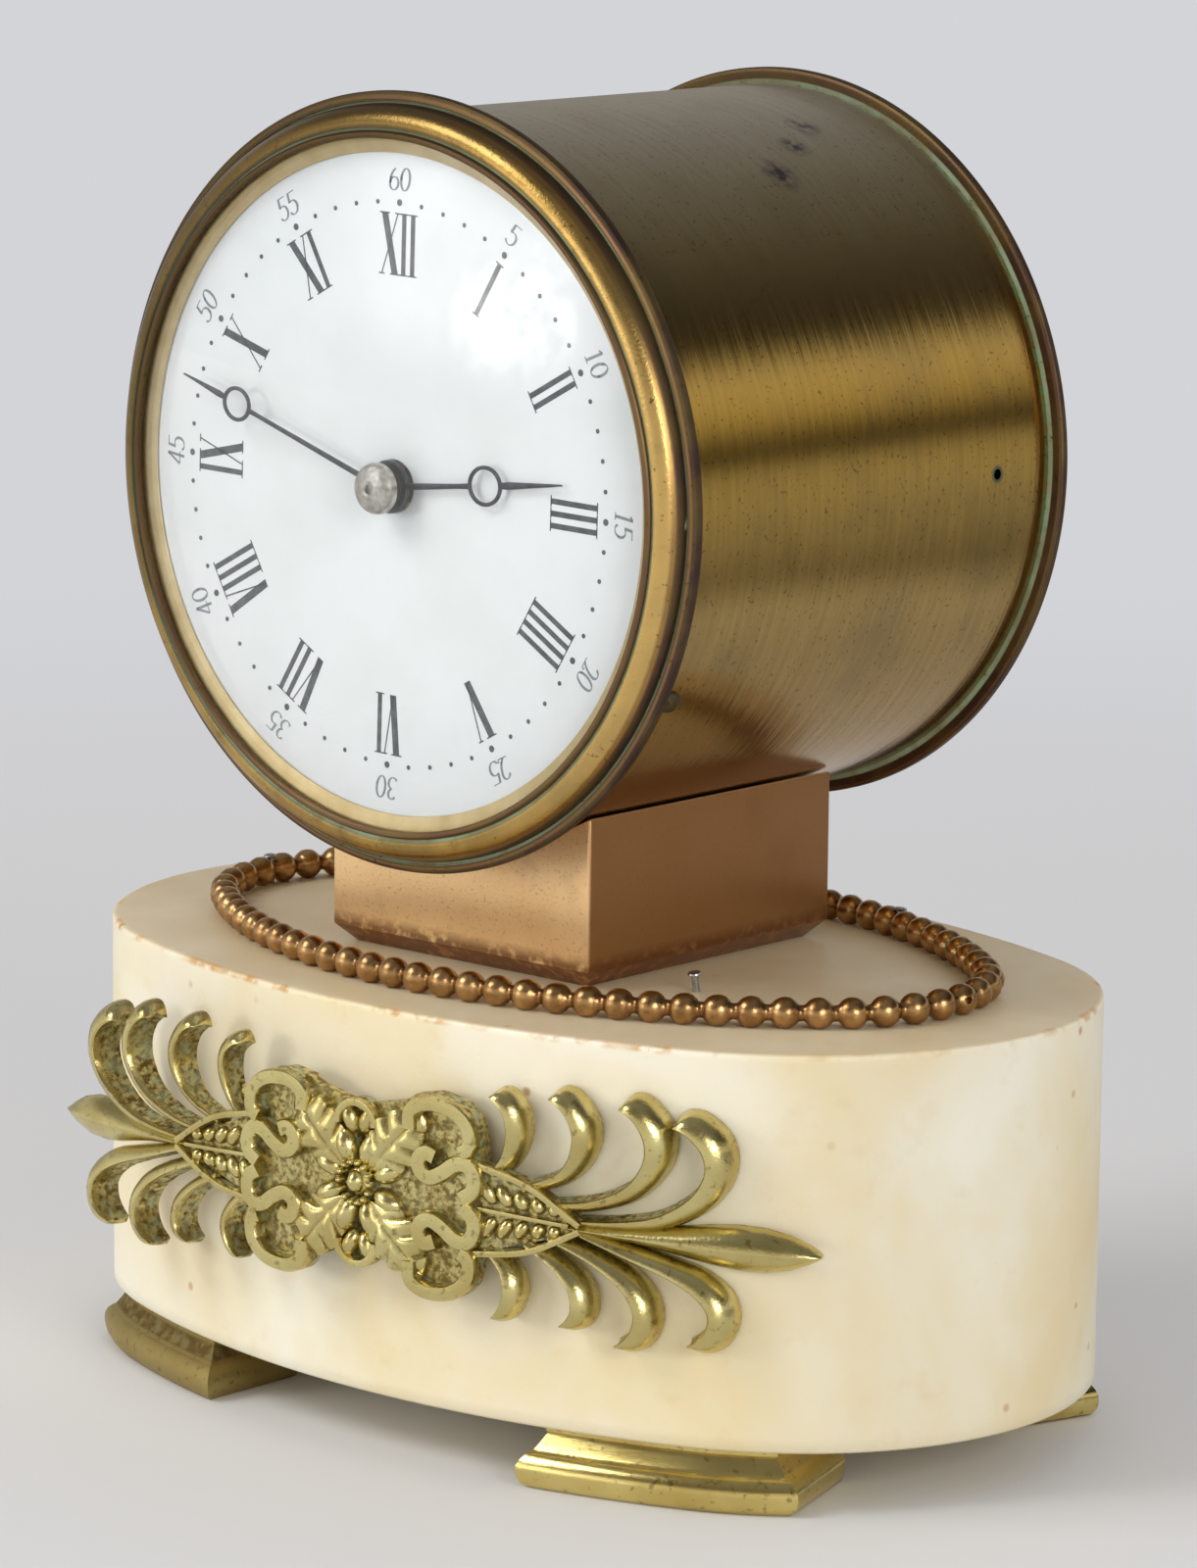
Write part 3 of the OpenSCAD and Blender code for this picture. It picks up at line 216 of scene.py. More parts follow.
def dress(tree, shader, colour, height=None, depth=0, **others):  # colour, relief of a depth in mm, and the rest
    others["Base Color"] = colour
    if depth:
        others["Normal"] = addNode(tree, "Bump", {"Height": height, "Distance": depth / 1000})
    for key, value in others.items():
        tree.links.new(value, shader.inputs[key])


# Cream alabaster, sawn, rubbed smooth and waxed: cloudy and a little see-through, with yellow stains,
# rust specks about a millimetre wide and a brown line where the top edge is worn
alabaster, tree, shader = newMaterial("waxed_alabaster", Roughness=0.42, IOR=1.52, Subsurface_Weight=0.12,
                                      Subsurface_Scale=0.004)
point = objectPoint(tree)
cloud = addNode(tree, "TexNoise", {"Vector": point, "Scale": 1 / 34, "Detail": 3, "Roughness": 0.5,
                                   "Distortion": 0.6})
colour = addNode(tree, "ValToRGB", {0: cloud}, stops=(
    (0.3, "#efe9d5"), (0.47, "#ebe2c7"), (0.6, "#e8dab5"), (0.75, "#e5d2a2")))
height = addNode(tree, "SeparateXYZ", {0: point}, out=2)
# the top face is tinted a darker tan, in patches
onTop = addNode(tree, "MapRange", {0: height, 1: 58.45, 2: 58.68})
dusty = addNode(tree, "MapRange", {0: maskOf(tree, point, (22, 0.35, 0.7)), 3: 0.55, 4: 0.95})
rust = addNode(tree, "TexVoronoi", {"Vector": point, "Scale": 1 / 7, "Randomness": 1}, out="Distance")
rust = addNode(tree, "MapRange", {0: rust, 1: 0.11, 2: 0.05})
edge = addNode(tree, "Attribute", out="Fac", attribute_name="mark")
edge = addNode(tree, "MapRange", {0: edge, 1: 0.55, 2: 1})
colour = stained(tree, point, colour,
                 ((17, 0.52, 0.72), 0.3, "#e3cb93"), ((6, 0.6, 0.75), 0.16, "#d0a868"),
                 (onTop, dusty, "#cdb890"), (rust, (21, 0.5, 0.68), "#b27c42"),
                 (edge, (2.6, 0.45, 0.6), (12, 0.42, 0.6), "#c79a5c"))
pits = stained(tree, point, maskOf(tree, point, (0.7, 0.2, 0.8, 4)), (0.5, maskOf(tree, point, (2.4, 0.3, 0.36))))
dress(tree, shader, colour, pits, 0.03)


def brass(name, clean, dull, dark, green, roughness, greenAt=0.5, grain=(1, 1, 1), depth=0.05,
          mottle=(0.8, 0.4, 0.6)):  # mark 0 is polished, 1 a hollow full of brown and verdigris
    material, tree, shader = newMaterial(name, Metallic=1, Roughness=roughness)
    point = objectPoint(tree)
    mark = addNode(tree, "Attribute", out="Fac", attribute_name="mark")
    mud = maskOf(tree, point, addNode(tree, "MapRange", {0: mark, 1: 0.2, 2: 0.65}), mottle)
    moss = addNode(tree, "MapRange", {0: mark, 1: greenAt, 2: greenAt + 0.3, 4: 0.75})
    moss = maskOf(tree, point, moss, (1.8, 0.42, 0.58))
    matt = addNode(tree, "Math", {0: moss, 1: mud}, operation="MAXIMUM", use_clamp=True)
    colour = stained(tree, point, clean, ((9, 0.35, 0.7), dull), ((1.1, 0.6, 0.7), 0.6, dark), (mud, dark),
                     (moss, green))
    fine = maskOf(tree, objectPoint(tree, stretch=grain), (0.35, 0.2, 0.8), 0.4)
    relief = stained(tree, point, fine, (mud, maskOf(tree, point, (0.5, 0.3, 0.7))))
    dress(tree, shader, colour, relief, depth,
          Roughness=addNode(tree, "MapRange", {0: matt, 3: roughness, 4: 0.75}),
          Metallic=addNode(tree, "MapRange", {0: moss, 3: 1, 4: 0.15}))
    return material


# Sand-cast brass: burnished bright where the hand reaches, mottled brown and green in its hollows
mountBrass = brass("burnished_cast_brass", "#d6c98c", "#c0ae6e", "#7d6836", "#a0ad8c", 0.24, greenAt=0.52)
# Feet: the same casting, filed and polished along the stone's edge, so their hollows are smooth
footBrass = brass("filed_cast_brass", "#e0cd84", "#cdb56c", "#7a6338", "#8a8455", 0.16, grain=(0.15, 0.15, 3),
                  depth=0.02, mottle=(0.8, 0.05, 0.3))
# Screws in the drum: brass eaten away to a rough dark brown with green in it
screwBrass = brass("corroded_screw", "#6d6142", "#4c4430", "#2f2a1c", "#7f9078", 0.6)

# Turned and lacquered brass ring: gold moulding, brown worn edges, verdigris packed in its grooves
bezelBrass, tree, shader = newMaterial("turned_lacquered_brass", Metallic=1, Roughness=0.3)
point = objectPoint(tree)
mark = addNode(tree, "Attribute", out="Fac", attribute_name="mark")
colour = addNode(tree, "ValToRGB", {0: mark}, stops=(
    (0.0, "#bd9a56"), (0.12, "#a98448"), (0.3, "#8a6848"), (0.5, "#5f4b40"), (0.62, "#50403a"),
    (0.8, "#97a380"), (1.0, "#a6b594")))
colour = stained(tree, point, colour, ((9, 0.42, 0.66), 0.6, "#7f6c42"), ((2.2, 0.55, 0.7), 0.4, "#7b5c2e"))
gold = addNode(tree, "MapRange", {0: mark, 1: 0.25, 2: 0})
fromAxis = objectPoint(tree, headCentre)
# painted reflection: the colour changes with direction from the axis, lighter at the right and darker at the upper
# left
for way, low, high, share, part, shade in (
        ((1, 0, -0.15), 20, 44, 0.5, gold, "#e4c07a"),  # painted highlight: the moulding is lightened gold at the right, where it would catch the light
        ((-0.72, 0, 0.69), -4, 34, 0.72, 1.0, "#54452b")):  # and painted shade: all of the ring is darkened brown at the upper left, where it would reflect dark
    side = addNode(tree, "VectorMath", {0: fromAxis, 1: way}, out="Value", operation="DOT_PRODUCT")
    side = addNode(tree, "MapRange", {0: side, 1: low, 2: high, 4: share})
    colour = stained(tree, point, colour, (side, part, shade))
green = addNode(tree, "MapRange", {0: mark, 1: 0.65, 2: 0.85})
dress(tree, shader, stained(tree, point, colour, ((0.9, 0.64, 0.72), 0.7, "#4f3a20")),
      maskOf(tree, point, (0.4, 0.3, 0.8)), 0.015,
      Metallic=addNode(tree, "MapRange", {0: green, 3: 1, 4: 0.1}),
      Roughness=addNode(tree, "MapRange", {0: mark, 1: 0.1, 2: 0.8, 3: 0.27, 4: 0.7}))

# Drawn brass tube polished round and round: streaked, olive brown, dusty on top, with dark spots, and its colour by
# height holds painted reflection and shade
drumBrass, tree, shader = newMaterial("tarnished_brass_tube")
point = objectPoint(tree, headCentre)
x, y, z = addNode(tree, "SeparateXYZ", {0: point}, out=None)
around = addNode(tree, "Math", {0: z, 1: x}, operation="ARCTAN2")
around = addNode(tree, "Math", {0: around, 1: 3}, operation="MULTIPLY")
unrolled = addNode(tree, "CombineXYZ", {0: y, 1: around})  # long along the turn, so noise becomes streaks
level = addNode(tree, "MapRange", {0: z, 1: -47.2, 2: 47.2})
# colour by height: greyer at the top with dust; the darker underside and the bands between are painted shade and
# reflection
colour = addNode(tree, "ValToRGB", {0: level}, stops=(
    (0.04, "#9a7030"), (0.2, "#b3945a"), (0.36, "#b69a60"), (0.5, "#b3934c"), (0.62, "#b99444"),
    (0.74, "#9c8450"), (0.88, "#8d8060"), (0.97, "#918a7a")))
colour = stained(tree, point, colour, (maskOf(tree, unrolled, (0.9, 0.35, 0.7)), 0.3, "#7b6028"),
                 ((13, 0.5, 0.72), 0.35, "#7a6a48"), ((0.6, 0.66, 0.7, 1), 0.5, "#4d3c20"))
for spot, size in (((26.8, 3.6, 38.8), 2.3), ((22.3, 11.8, 41.6), 1.6), ((18.3, 18.5, 43.5), 1.9)):  # ink stains
    away = addNode(tree, "VectorMath", {0: point, 1: spot}, out="Value", operation="DISTANCE")
    blot = addNode(tree, "MapRange", {0: away, 1: size * 1.6, 2: size * 0.4})
    colour = stained(tree, point, colour, (blot, (1.5, 0.35, 0.55), "#3a3238"))
away = addNode(tree, "VectorMath", {0: point, 1: (47.2, 24.2, 0)}, out="Value", operation="DISTANCE")
holeRim = addNode(tree, "MapRange", {0: away, 1: 1.35, 2: 0.9})
mark = addNode(tree, "Attribute", out="Fac", attribute_name="mark")
colour = stained(tree, point, colour, (holeRim, "#5d6448"), (mark, (1.4, 0.4, 0.5), "#8fae96"))
dust = addNode(tree, "MapRange", {0: level, 1: 0.72, 2: 1.0})
dress(tree, shader, colour, maskOf(tree, unrolled, (1.8, 0.2, 0.8, 4)), 0.045,
      Metallic=addNode(tree, "MapRange", {0: dust, 3: 1, 4: 0.55}),
      Roughness=addNode(tree, "MapRange", {0: dust, 3: 0.19, 4: 0.4}))

# Copper sheet, pickled and scratch-brushed to a rose satin, with painted shade: darker brown on its right side, in
# its undercut and in a ragged line above it
roseCopper, tree, shader = newMaterial("satin_rose_copper", Metallic=0.58, Roughness=0.36)
point = objectPoint(tree)
# painted shade: faces turned to the right are darkened brown
facing = addNode(tree, "SeparateXYZ", {0: addNode(tree, "NewGeometry", out="Normal")})
shaded = addNode(tree, "MapRange", {0: facing, 1: 0.5, 2: 0.9, 4: 0.9})
# the undercut (mark 1) is painted a darker brown, painted shade in the recess; it is also smoother
under = addNode(tree, "Attribute", out="Fac", attribute_name="mark")
low = addNode(tree, "MapRange", {0: addNode(tree, "SeparateXYZ", {0: point}, out=2), 1: 63.2, 2: 61.6})
colour = stained(tree, point, "#f6cf98", ((15, 0.4, 0.7), "#ecbe86"), ((0.5, 0.58, 0.72, 2), 0.35, "#8a5a30"),
                 ((11, 0.62, 0.78), 0.35, "#8f7356"), (shaded, "#865624"), (under, 0.8, "#a0602c"),
                 (low, (1.6, 0.3, 0.5), 0.8, "#6d3d18"))  # the last is painted shade and reflection: a dark ragged line above the undercut, where the beads shade and show in the copper
dress(tree, shader, colour, maskOf(tree, point, (0.28, 0.2, 0.8)), 0.02,
      Roughness=addNode(tree, "MapRange", {0: under, 3: 0.38, 4: 0.14}))

# Turned copper beads, brown with age, bright where they stand proud, with a little green between them
beadCopper, tree, shader = newMaterial("aged_copper_beads", Metallic=1, Roughness=0.28)
point = objectPoint(tree)
mark = addNode(tree, "Attribute", out="Fac", attribute_name="mark")
dress(tree, shader, stained(tree, point, "#c29a68", ((2.5, 0.35, 0.7), "#937048"),
                            ((1.0, 0.58, 0.7), 0.5, "#7a5430"), (mark, 0.4, "#7d5634"),
                            ((3.2, 0.66, 0.7), mark, "#8ea58a")), maskOf(tree, point, (0.5, 0.3, 0.8)), 0.02)

# White enamel fired on copper: glossy, faintly blue, very slightly wavy
enamel, tree, shader = newMaterial("fired_white_enamel", Roughness=0.12, IOR=1.5, Coat_Weight=0.4)
point = objectPoint(tree)
dress(tree, shader, stained(tree, point, "#eaeff0", ((16, 0.45, 0.7), "#e4eaea")),
      maskOf(tree, point, (3, 0.2, 0.8)), 0.01)

# Black enamel paint of the figures, fired thin, so greyish, and rubbed fainter near the rim
blackEnamel, tree, shader = newMaterial("fired_black_enamel", Roughness=0.4)
fromAxis = objectPoint(tree, headCentre, stretch=(1, 0, 1))
away = addNode(tree, "VectorMath", {0: fromAxis}, out="Value", operation="LENGTH")
worn = addNode(tree, "MapRange", {0: away, 1: 36.6, 2: 37.2, 4: 0.7})
dress(tree, shader, stained(tree, objectPoint(tree), "#2f3538", ((1.2, 0.4, 0.7), "#4e565a"), (worn, "#8d979b")))

# Blown glass, clear and quite smooth: lamps pass through it to the dial
clearGlass, tree, shader = newMaterial("clear_blown_glass", Base_Color="#ffffff", Roughness=0.0, IOR=1.46,
                                       Transmission_Weight=1)
both = addNode(tree, "MixShader", {0: addNode(tree, "LightPath", out="Is Shadow Ray"), 1: shader.outputs[0],
                                   2: addNode(tree, "BsdfTransparent")})
tree.links.new(both, tree.nodes["Material Output"].inputs["Surface"])


def plainMetal(name, light, dim, roughness, size=2, grain=(1, 1, 1)):  # clouds of a size in mm and finer relief
    material, tree, shader = newMaterial(name, Metallic=1, Roughness=roughness)
    point = objectPoint(tree, stretch=grain)
    dress(tree, shader, stained(tree, point, light, ((size, 0.35, 0.7), dim)),
          maskOf(tree, point, (size / 6, 0.2, 0.8)), 0.01)
    return material


nickel = plainMetal("turned_nickel", "#c9c5bd", "#8f8a80", 0.28, 1.2)  # turned nickel: warm grey, handled dull
greySteel = plainMetal("polished_steel", "#b9bcc0", "#83868c", 0.3)  # filed and polished steel: cool grey
# Hands: steel blued by heat long ago, now dull and nearly black
handSteel = plainMetal("dulled_blued_steel", "#4c5055", "#303438", 0.32, 1.5)
bluedSteel = plainMetal("blued_spring_steel", "#34466e", "#26304c", 0.25)  # steel blued by heat: deep blue
# Plates and wheels: rolled brass grained one way, yellow with faint long streaks
movementBrass = plainMetal("grained_movement_brass", "#d8b865", "#bd9a4a", 0.3, 3, grain=(1, 0.2, 1))
sightBrass = plainMetal("gilt_sight_ring", "#d0bb88", "#bda66e", 0.5, 4)  # turned brass, gilt matt: pale gold

# Beech, planed and oiled: brown with darker lines along the grain
oiledBeech, tree, shader = newMaterial("oiled_beech", Roughness=0.6)
dress(tree, shader, stained(tree, objectPoint(tree, stretch=(1, 0.12, 1)), "#8a5f37",
                            ((1.5, 0.3, 0.7), "#6b4526")))

slotMaterials = {"alabaster": alabaster, "gilt_brass": mountBrass, "drum_brass": drumBrass,
                 "rose_copper": roseCopper, "bead_copper": beadCopper, "movement_brass": movementBrass,
                 "steel": greySteel, "blued_steel": bluedSteel, "nickel": nickel, "enamel": enamel,
                 "clear_glass": clearGlass, "saddle_wood": oiledBeech}
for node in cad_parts.values():
    for holder in node.material_slots:
        holder.material = slotMaterials[holder.material.name.split(".")[0]]
print("materials ready")

# The stone: an oval of two end arcs and two long arcs, with a pocket below for the tie bolt's nut
stone = {"oval": (74.1, 46.58, 40.1), "low": 7.9, "high": 58.7, "edge": 0.5, "steps": 288,
         "pocket": 8, "pocketAt": (-4.9, 2.7), "pocketTop": 15.9}


def ovalRise(shape):  # how far past the middle the long arcs have their centres
    wide, deep, end = shape
    return ((wide - end) ** 2 - (deep - end) ** 2) / (2 * (deep - end))


def ovalEdge(shape, turn, out=0):  # the point of the oval whose outward side faces turn
    wide, deep, end = shape
    rise = ovalRise(shape)
    facing = Vector((math.cos(turn), math.sin(turn), 0))
    if math.atan2(abs(facing.y), abs(facing.x)) <= math.atan2(rise, wide - end):
        return Vector((math.copysign(wide - end, facing.x), 0, 0)) + facing * (end + out)
    return Vector((0, -math.copysign(rise, facing.y), 0)) + facing * (deep + rise + out)


def ringAt(shape, out, z, steps):
    return [ovalEdge(shape, fullTurn * k / steps, out) + Vector((0, 0, z)) for k in range(steps)]


def circleAt(radius, centre, z, steps):
    ring = [fullTurn * k / steps for k in range(steps)]
    return [Vector((centre[0] + radius * math.cos(a), centre[1] + radius * math.sin(a), z)) for a in ring]


bm = newMesh()
low, top, edgeWide, steps = stone["low"], stone["high"], stone["edge"], stone["steps"]
rows = [circleAt(stone["pocket"], stone["pocketAt"], z, steps) for z in (stone["pocketTop"], low)]
marks = [0, 0]
for out, z, mark in ((-0.4, low, 0), (0, low + 0.4, 0.3), (0, low + 2, 0), (0, top - 3, 0),
                     (0, top - edgeWide - 0.5, 0.5), (0, top - edgeWide, 1), (-0.14, top - 0.16, 1),
                     (-edgeWide, top, 1), (-edgeWide - 0.6, top, 0.5), (-4, top, 0)):
    rows.append(ringAt(stone["oval"], out, z, steps))
    marks.append(mark)
rollGrid(bm, rows, marks)
finishPiece("stone_body", bm, stonePlace, "clock", alabaster, ["stone_base"], sharp=50)

# Feet: moulded castings that follow the stone's edge; levels are shares of the height and the step outwards
foot = {"high": 7.9, "from": 28.5, "to": 60, "deep": 15.5, "lap": 4.5, "steps": 40, "dullFrontLeft": 0.45}
footLevels = [(0, 0.1), (0.02, 0.45), (0.08, 0.85), (0.16, 1.22), (0.27, 1.4), (0.38, 1.32), (0.47, 0.95),
              (0.54, 0.45), (0.565, 0.2), (0.585, -0.1), (0.65, -0.5), (0.73, -0.9), (0.82, -1.32),
              (0.885, -1.62), (0.9, -1.68), (0.905, -1.5), (1, -1.35)]


def edgeAt(shape, x, out):
    wide, deep, end = shape
    rise = ovalRise(shape)
    joinX = wide - end + end * math.cos(math.atan2(rise, wide - end))
    turn = math.acos((x - wide + end) / end) if x > joinX else math.acos(x / (deep + rise))
    return ovalEdge(shape, turn, out)


def footRing(level, out):
    shape, start, stop = stone["oval"], foot["from"] - out, foot["to"] + 0.7 * out
    ring = [edgeAt(shape, start + (stop - start) * k / foot["steps"], out) for k in range(foot["steps"] + 1)]
    inner, middle = foot["to"] - foot["lap"] + 0.7 * out, (foot["from"] + foot["to"]) / 2
    for x, along in ((inner, foot["to"]), ((inner + start) / 2, middle), (start, foot["from"])):
        ring.append(Vector((x, edgeAt(shape, along, 0).y - foot["deep"], 0)))
    return [p + Vector((0, 0, level * foot["high"])) for p in ring]


for name, sideX, sideY in (("front_left", -1, -1), ("front_right", 1, -1), ("rear_left", -1, 1),
                           ("rear_right", 1, 1)):
    bm = newMesh()
    worn = foot["dullFrontLeft"] if name == "front_left" else 0
    rollGrid(bm, [footRing(level, out) for level, out in footLevels],
             [worn + (0.25 if 0.62 < level < 0.86 else 0) for level, out in footLevels])
    bmesh.ops.transform(bm, matrix=Matrix.Diagonal((sideX, sideY, 1, 1)), verts=bm.verts)
    finishPiece("foot_" + name + "_brass", bm, stonePlace, "clock", footBrass, ["foot_" + name],
                sharp=38)

# Bead ring: one rod turned into beads and necks, with an empty nail hole in the bead at the right end
beads = {"oval": (60.2, 36.5, 21.9), "count": 72, "radius": 2.05, "neck": 1.02, "z": 60.62, "sides": 16,
         "hole": 0.42}
fine = [ovalEdge(beads["oval"], fullTurn * k / 2880) for k in range(2881)]
lengths = [0]
for a, b in zip(fine, fine[1:]):
    lengths.append(lengths[-1] + (b - a).length)


def alongRing(share):  # a share of the way round, by length, and the way out from there
    goal = share % 1 * lengths[-1]
    k = next(i for i in range(len(fine) - 1) if lengths[i + 1] >= goal)
    spot = fine[k].lerp(fine[k + 1], (goal - lengths[k]) / (lengths[k + 1] - lengths[k]))
    way = (fine[k + 1] - fine[k]).normalized()
    return spot, Vector((way.y, -way.x, 0))


bm = newMesh()
rows, marks = [], []
pitch = lengths[-1] / beads["count"]
for bead in range(beads["count"]):
    for part in (0, 0.09, 0.17, 0.27, 0.38, 0.5, 0.62, 0.73, 0.83, 0.91):
        spot, outward = alongRing((bead + part) / beads["count"])
        along = (part - 0.5) * pitch
        radius = max(beads["neck"], math.sqrt(max(beads["radius"] ** 2 - along ** 2, 0)))
        middle = spot + Vector((0, 0, beads["z"]))
        rows.append([middle + radius * (math.cos(a) * outward + Vector((0, 0, math.sin(a))))
                     for a in (fullTurn * k / beads["sides"] for k in range(beads["sides"]))])
        marks.append(max(0, 1 - (radius - 1) / 0.8))
rollGrid(bm, rows, marks, loop=True)
beadPiece = finishPiece("copper_bead_ring", bm, stonePlace, "clock", beadCopper, ["bead_ring"],
                        sharp=60)
hole = newMesh()
bmesh.ops.create_cone(hole, cap_ends=True, segments=20, radius1=beads["hole"], radius2=beads["hole"], depth=2.4)
facing = Matrix.Rotation(math.radians(-21), 4, "Z") @ Matrix.Rotation(math.radians(82), 4, "Y")
centre = alongRing(0.5 / beads["count"])[0] + Vector((0, 0, beads["z"])) + facing @ Vector((0, 0, 1.9))
cutAway(beadPiece, hole, stonePlace @ Matrix.Translation(centre) @ facing)

nails = {"shares": (1 / 6, 1 / 3, 1 / 2), "lone": (27.7, -11.3, 0), "loneSunk": 1.3, "lean": 0.12,
         "profile": [(0, -3.8), (0.45, -3.8), (0.45, 3.5), (0.78, 3.6), (0.9, 3.8), (0.82, 4.0), (0.5, 4.12),
                     (0, 4.15)]}
bm = newMesh()
spots = [alongRing(round(share * beads["count"]) / beads["count"])[0] for share in nails["shares"]]
for k, spot in enumerate(spots + [Vector(nails["lone"])]):
    sunk = nails["loneSunk"] if k == len(spots) else 0  # the lone nail beside the block is driven in
    lean = Matrix.Rotation(nails["lean"] * (k - 1.5), 4, "X") @ Matrix.Rotation(math.radians(90), 4, "X")
    turned(bm, nails["profile"], steps=20, loop=False,
           place=Matrix.Translation(spot + Vector((0, 0, stone["high"] - sunk))) @ lean)
finishPiece("ring_nails", bm, stonePlace, "clock", greySteel, ["bead_ring_nails"])

# Plinth block: a hollow box of sheet, undercut at its foot, its top edge cut to the drum
plinth = {"wide": 45.6, "deep": 48.1, "low": 58.7, "high": 81.1, "undercut": 2.4, "wall": 4.4,
          "corner": 0.55, "saddleRadius": 47.5}


def blockRing(inset, z=None, drop=0.0):  # rounded oblong, its top following the drum where that dips lower
    halfX, halfY = plinth["wide"] / 2 - inset, plinth["deep"] / 2 - inset
    corner = max(plinth["corner"] - inset, 0.12)
    ring = []
    for quarter in range(4):
        signs = ((1, 1), (-1, 1), (-1, -1), (1, -1))[quarter]
        for step in range(5):
            turn = math.radians(90 * quarter + 22.5 * step)
            ring.append(Vector((signs[0] * (halfX - corner) + corner * math.cos(turn),
                                signs[1] * (halfY - corner) + corner * math.sin(turn), 0)))
        if quarter % 2 == 0:  # the front and back sides follow the saddle in small steps
            side = halfX - corner
            ring += [Vector((signs[0] * side * (1 - 2 * k / 28), signs[1] * halfY, 0)) for k in range(1, 28)]
    for p in ring:
        arch = headPlace.translation.z - math.sqrt(plinth["saddleRadius"] ** 2 - p.x ** 2)
        p.z = min(plinth["high"], arch) - drop if z is None else z
    return ring


bm = newMesh()
under, wall, low = plinth["undercut"], plinth["wall"], plinth["low"]
rollGrid(bm, [blockRing(under, low), blockRing(under - 0.15, low + 0.15), blockRing(0.12, low + 2.3),
              blockRing(0, low + 2.5), blockRing(0, low + 11.3), blockRing(0, drop=0.4), blockRing(0.1, drop=0.12),
              blockRing(0.4), blockRing(wall - 0.3), blockRing(wall, drop=0.3), blockRing(wall, low + 3)],
         [1, 1, 1] + [0] * 8)
finishPiece("copper_plinth_block", bm, plinthPlace, "clock", roseCopper, ["plinth_block"], sharp=40)
print("stone, feet, beads and block ready")

drum = {"radius": 47.2, "bore": 46.2, "front": -37.3, "back": 35.0, "steps": 288, "hole": 0.7, "holeAt": 24.2}
r, bore, front, back = (drum[key] for key in ("radius", "bore", "front", "back"))
bm = newMesh()
turned(bm, [(bore, front), (r - 0.15, front), (r, front + 0.15), (r, front + 0.9), (r, -20), (r, 0), (r, 22.7),
            (r, 25.7), (r, back - 1), (r, back - 0.15), (r - 0.15, back), (bore, back), (bore, 25.7), (bore, 22.7)],
       drum["steps"])
setMarks(bm, lambda radius, y: 1.0 if min(abs(y - back), abs(y - front)) < 0.3 else 0.0)
drumPiece = finishPiece("brass_drum", bm, headPlace, "clock", drumBrass, ["drum_case"], sharp=30)
hole = newMesh()
bmesh.ops.create_cone(hole, cap_ends=True, segments=28, radius1=drum["hole"], radius2=drum["hole"], depth=6,
                      matrix=Matrix.Translation((r, drum["holeAt"], 0)) @ Matrix.Rotation(math.radians(90), 4, "Y"))
cutAway(drumPiece, hole, headPlace)

caseScrews = {"turns": (30, 150), "along": -32.9, "eaten": 0.25, "seed": 5,
              "profile": [(0, 42.2), (0.75, 42.2), (0.75, 47.0), (1.5, 47.1), (1.5, 47.45), (1.2, 47.9),
                          (0.6, 48.1), (0, 48.12)]}
bm = newMesh()
for turn in caseScrews["turns"]:
    turned(bm, caseScrews["profile"], 28, loop=False,
           place=Matrix.Rotation(math.radians(turn), 4, "Y") @ Matrix.Translation((0, caseScrews["along"], 0))
           @ Matrix.Rotation(math.radians(-90), 4, "Z"))
noise.seed_set(caseScrews["seed"])  # without it the vector noise is another one on each run
for vert in bm.verts:
    vert.co += noise.noise_vector(vert.co * 1.3) * caseScrews["eaten"]
finishPiece("case_screw_heads", bm, headPlace, "clock", screwBrass, ["case_screws"])

bezel = {"steps": 288, "mouldOut": 48.4, "mouldIn": 45.72, "mouldHigh": 3.0, "pin": -36, "leaf": (-37.5, -36),
         "latch": (-37.7, -34.4)}
profile = [(46, -37.3), (49.65, -37.3), (49.9, -37.4), (50, -37.65), (50, -38.3), (49.9, -38.62), (49.65, -38.8),
           (49.3, -38.86), (48.95, -38.98), (48.8, -38.9), (48.72, -38.5), (48.45, -38.5)]
for k in range(13):
    a = math.radians(90 * k / 12)
    profile.append((bezel["mouldIn"] + (bezel["mouldOut"] - bezel["mouldIn"]) * math.cos(a),
                    -38.8 - bezel["mouldHigh"] * math.sin(a)))
profile += [(45.6, -41.75), (45.52, -41.4), (45.2, -41.35), (45.12, -41.65), (45.02, -41.86), (44.85, -41.99),
            (44.65, -42.02), (44.42, -41.98), (44.26, -41.84), (44.2, -41.6), (44.2, -41.25), (46, -41.25)]


def bezelMark(radius, y):  # 0 gold, 0.3 to 0.6 brown, 1 verdigris
    for low, high, mark in ((48.4, 48.83, 1.0), (48.83, 49.1, 0.5), (49.1, 49.4, 0.25), (49.4, 60, 0.6),
                            (45.15, 45.63, 0.95), (0, 45.15, 0.42), (48.05, 48.41, 0.5), (47.8, 48.05, 0.2)):
        if low <= radius < high:
            return mark
    return 0.0


def hingeAndLatch(bm, door):  # knuckle and leaf at 9 o'clock, catch at 3 o'clock
    turned(bm, [(0, -2), (1.15, -2), (1.15, 2), (0, 2)], 24, loop=False,
           place=Matrix.Translation((-48.45, door["pin"], 0)) @ Matrix.Rotation(math.radians(90), 4, "X"))
    block(bm, (-48.95, door["leaf"][0], -2), (-47.95, door["leaf"][1], 2))
    block(bm, (45.2, door["latch"][0], -4), (45.95, door["latch"][1], 4))


bm = newMesh()
turned(bm, profile, bezel["steps"])
setMarks(bm, bezelMark)
hingeAndLatch(bm, bezel)
finishPiece("moulded_bezel", bm, headPlace, "front_door", bezelBrass, ["front_bezel"], sharp=28)

glass = {"radius": 45.8, "outerBall": 172.27, "thick": 1.0, "front": -47.05, "steps": 96}


def domeFace(ball):  # from the middle out
    places = [glass["radius"] * k / 14 for k in range(15)]
    return [(r, glass["front"] + glass["outerBall"] - math.sqrt(ball ** 2 - r ** 2)) for r in places]


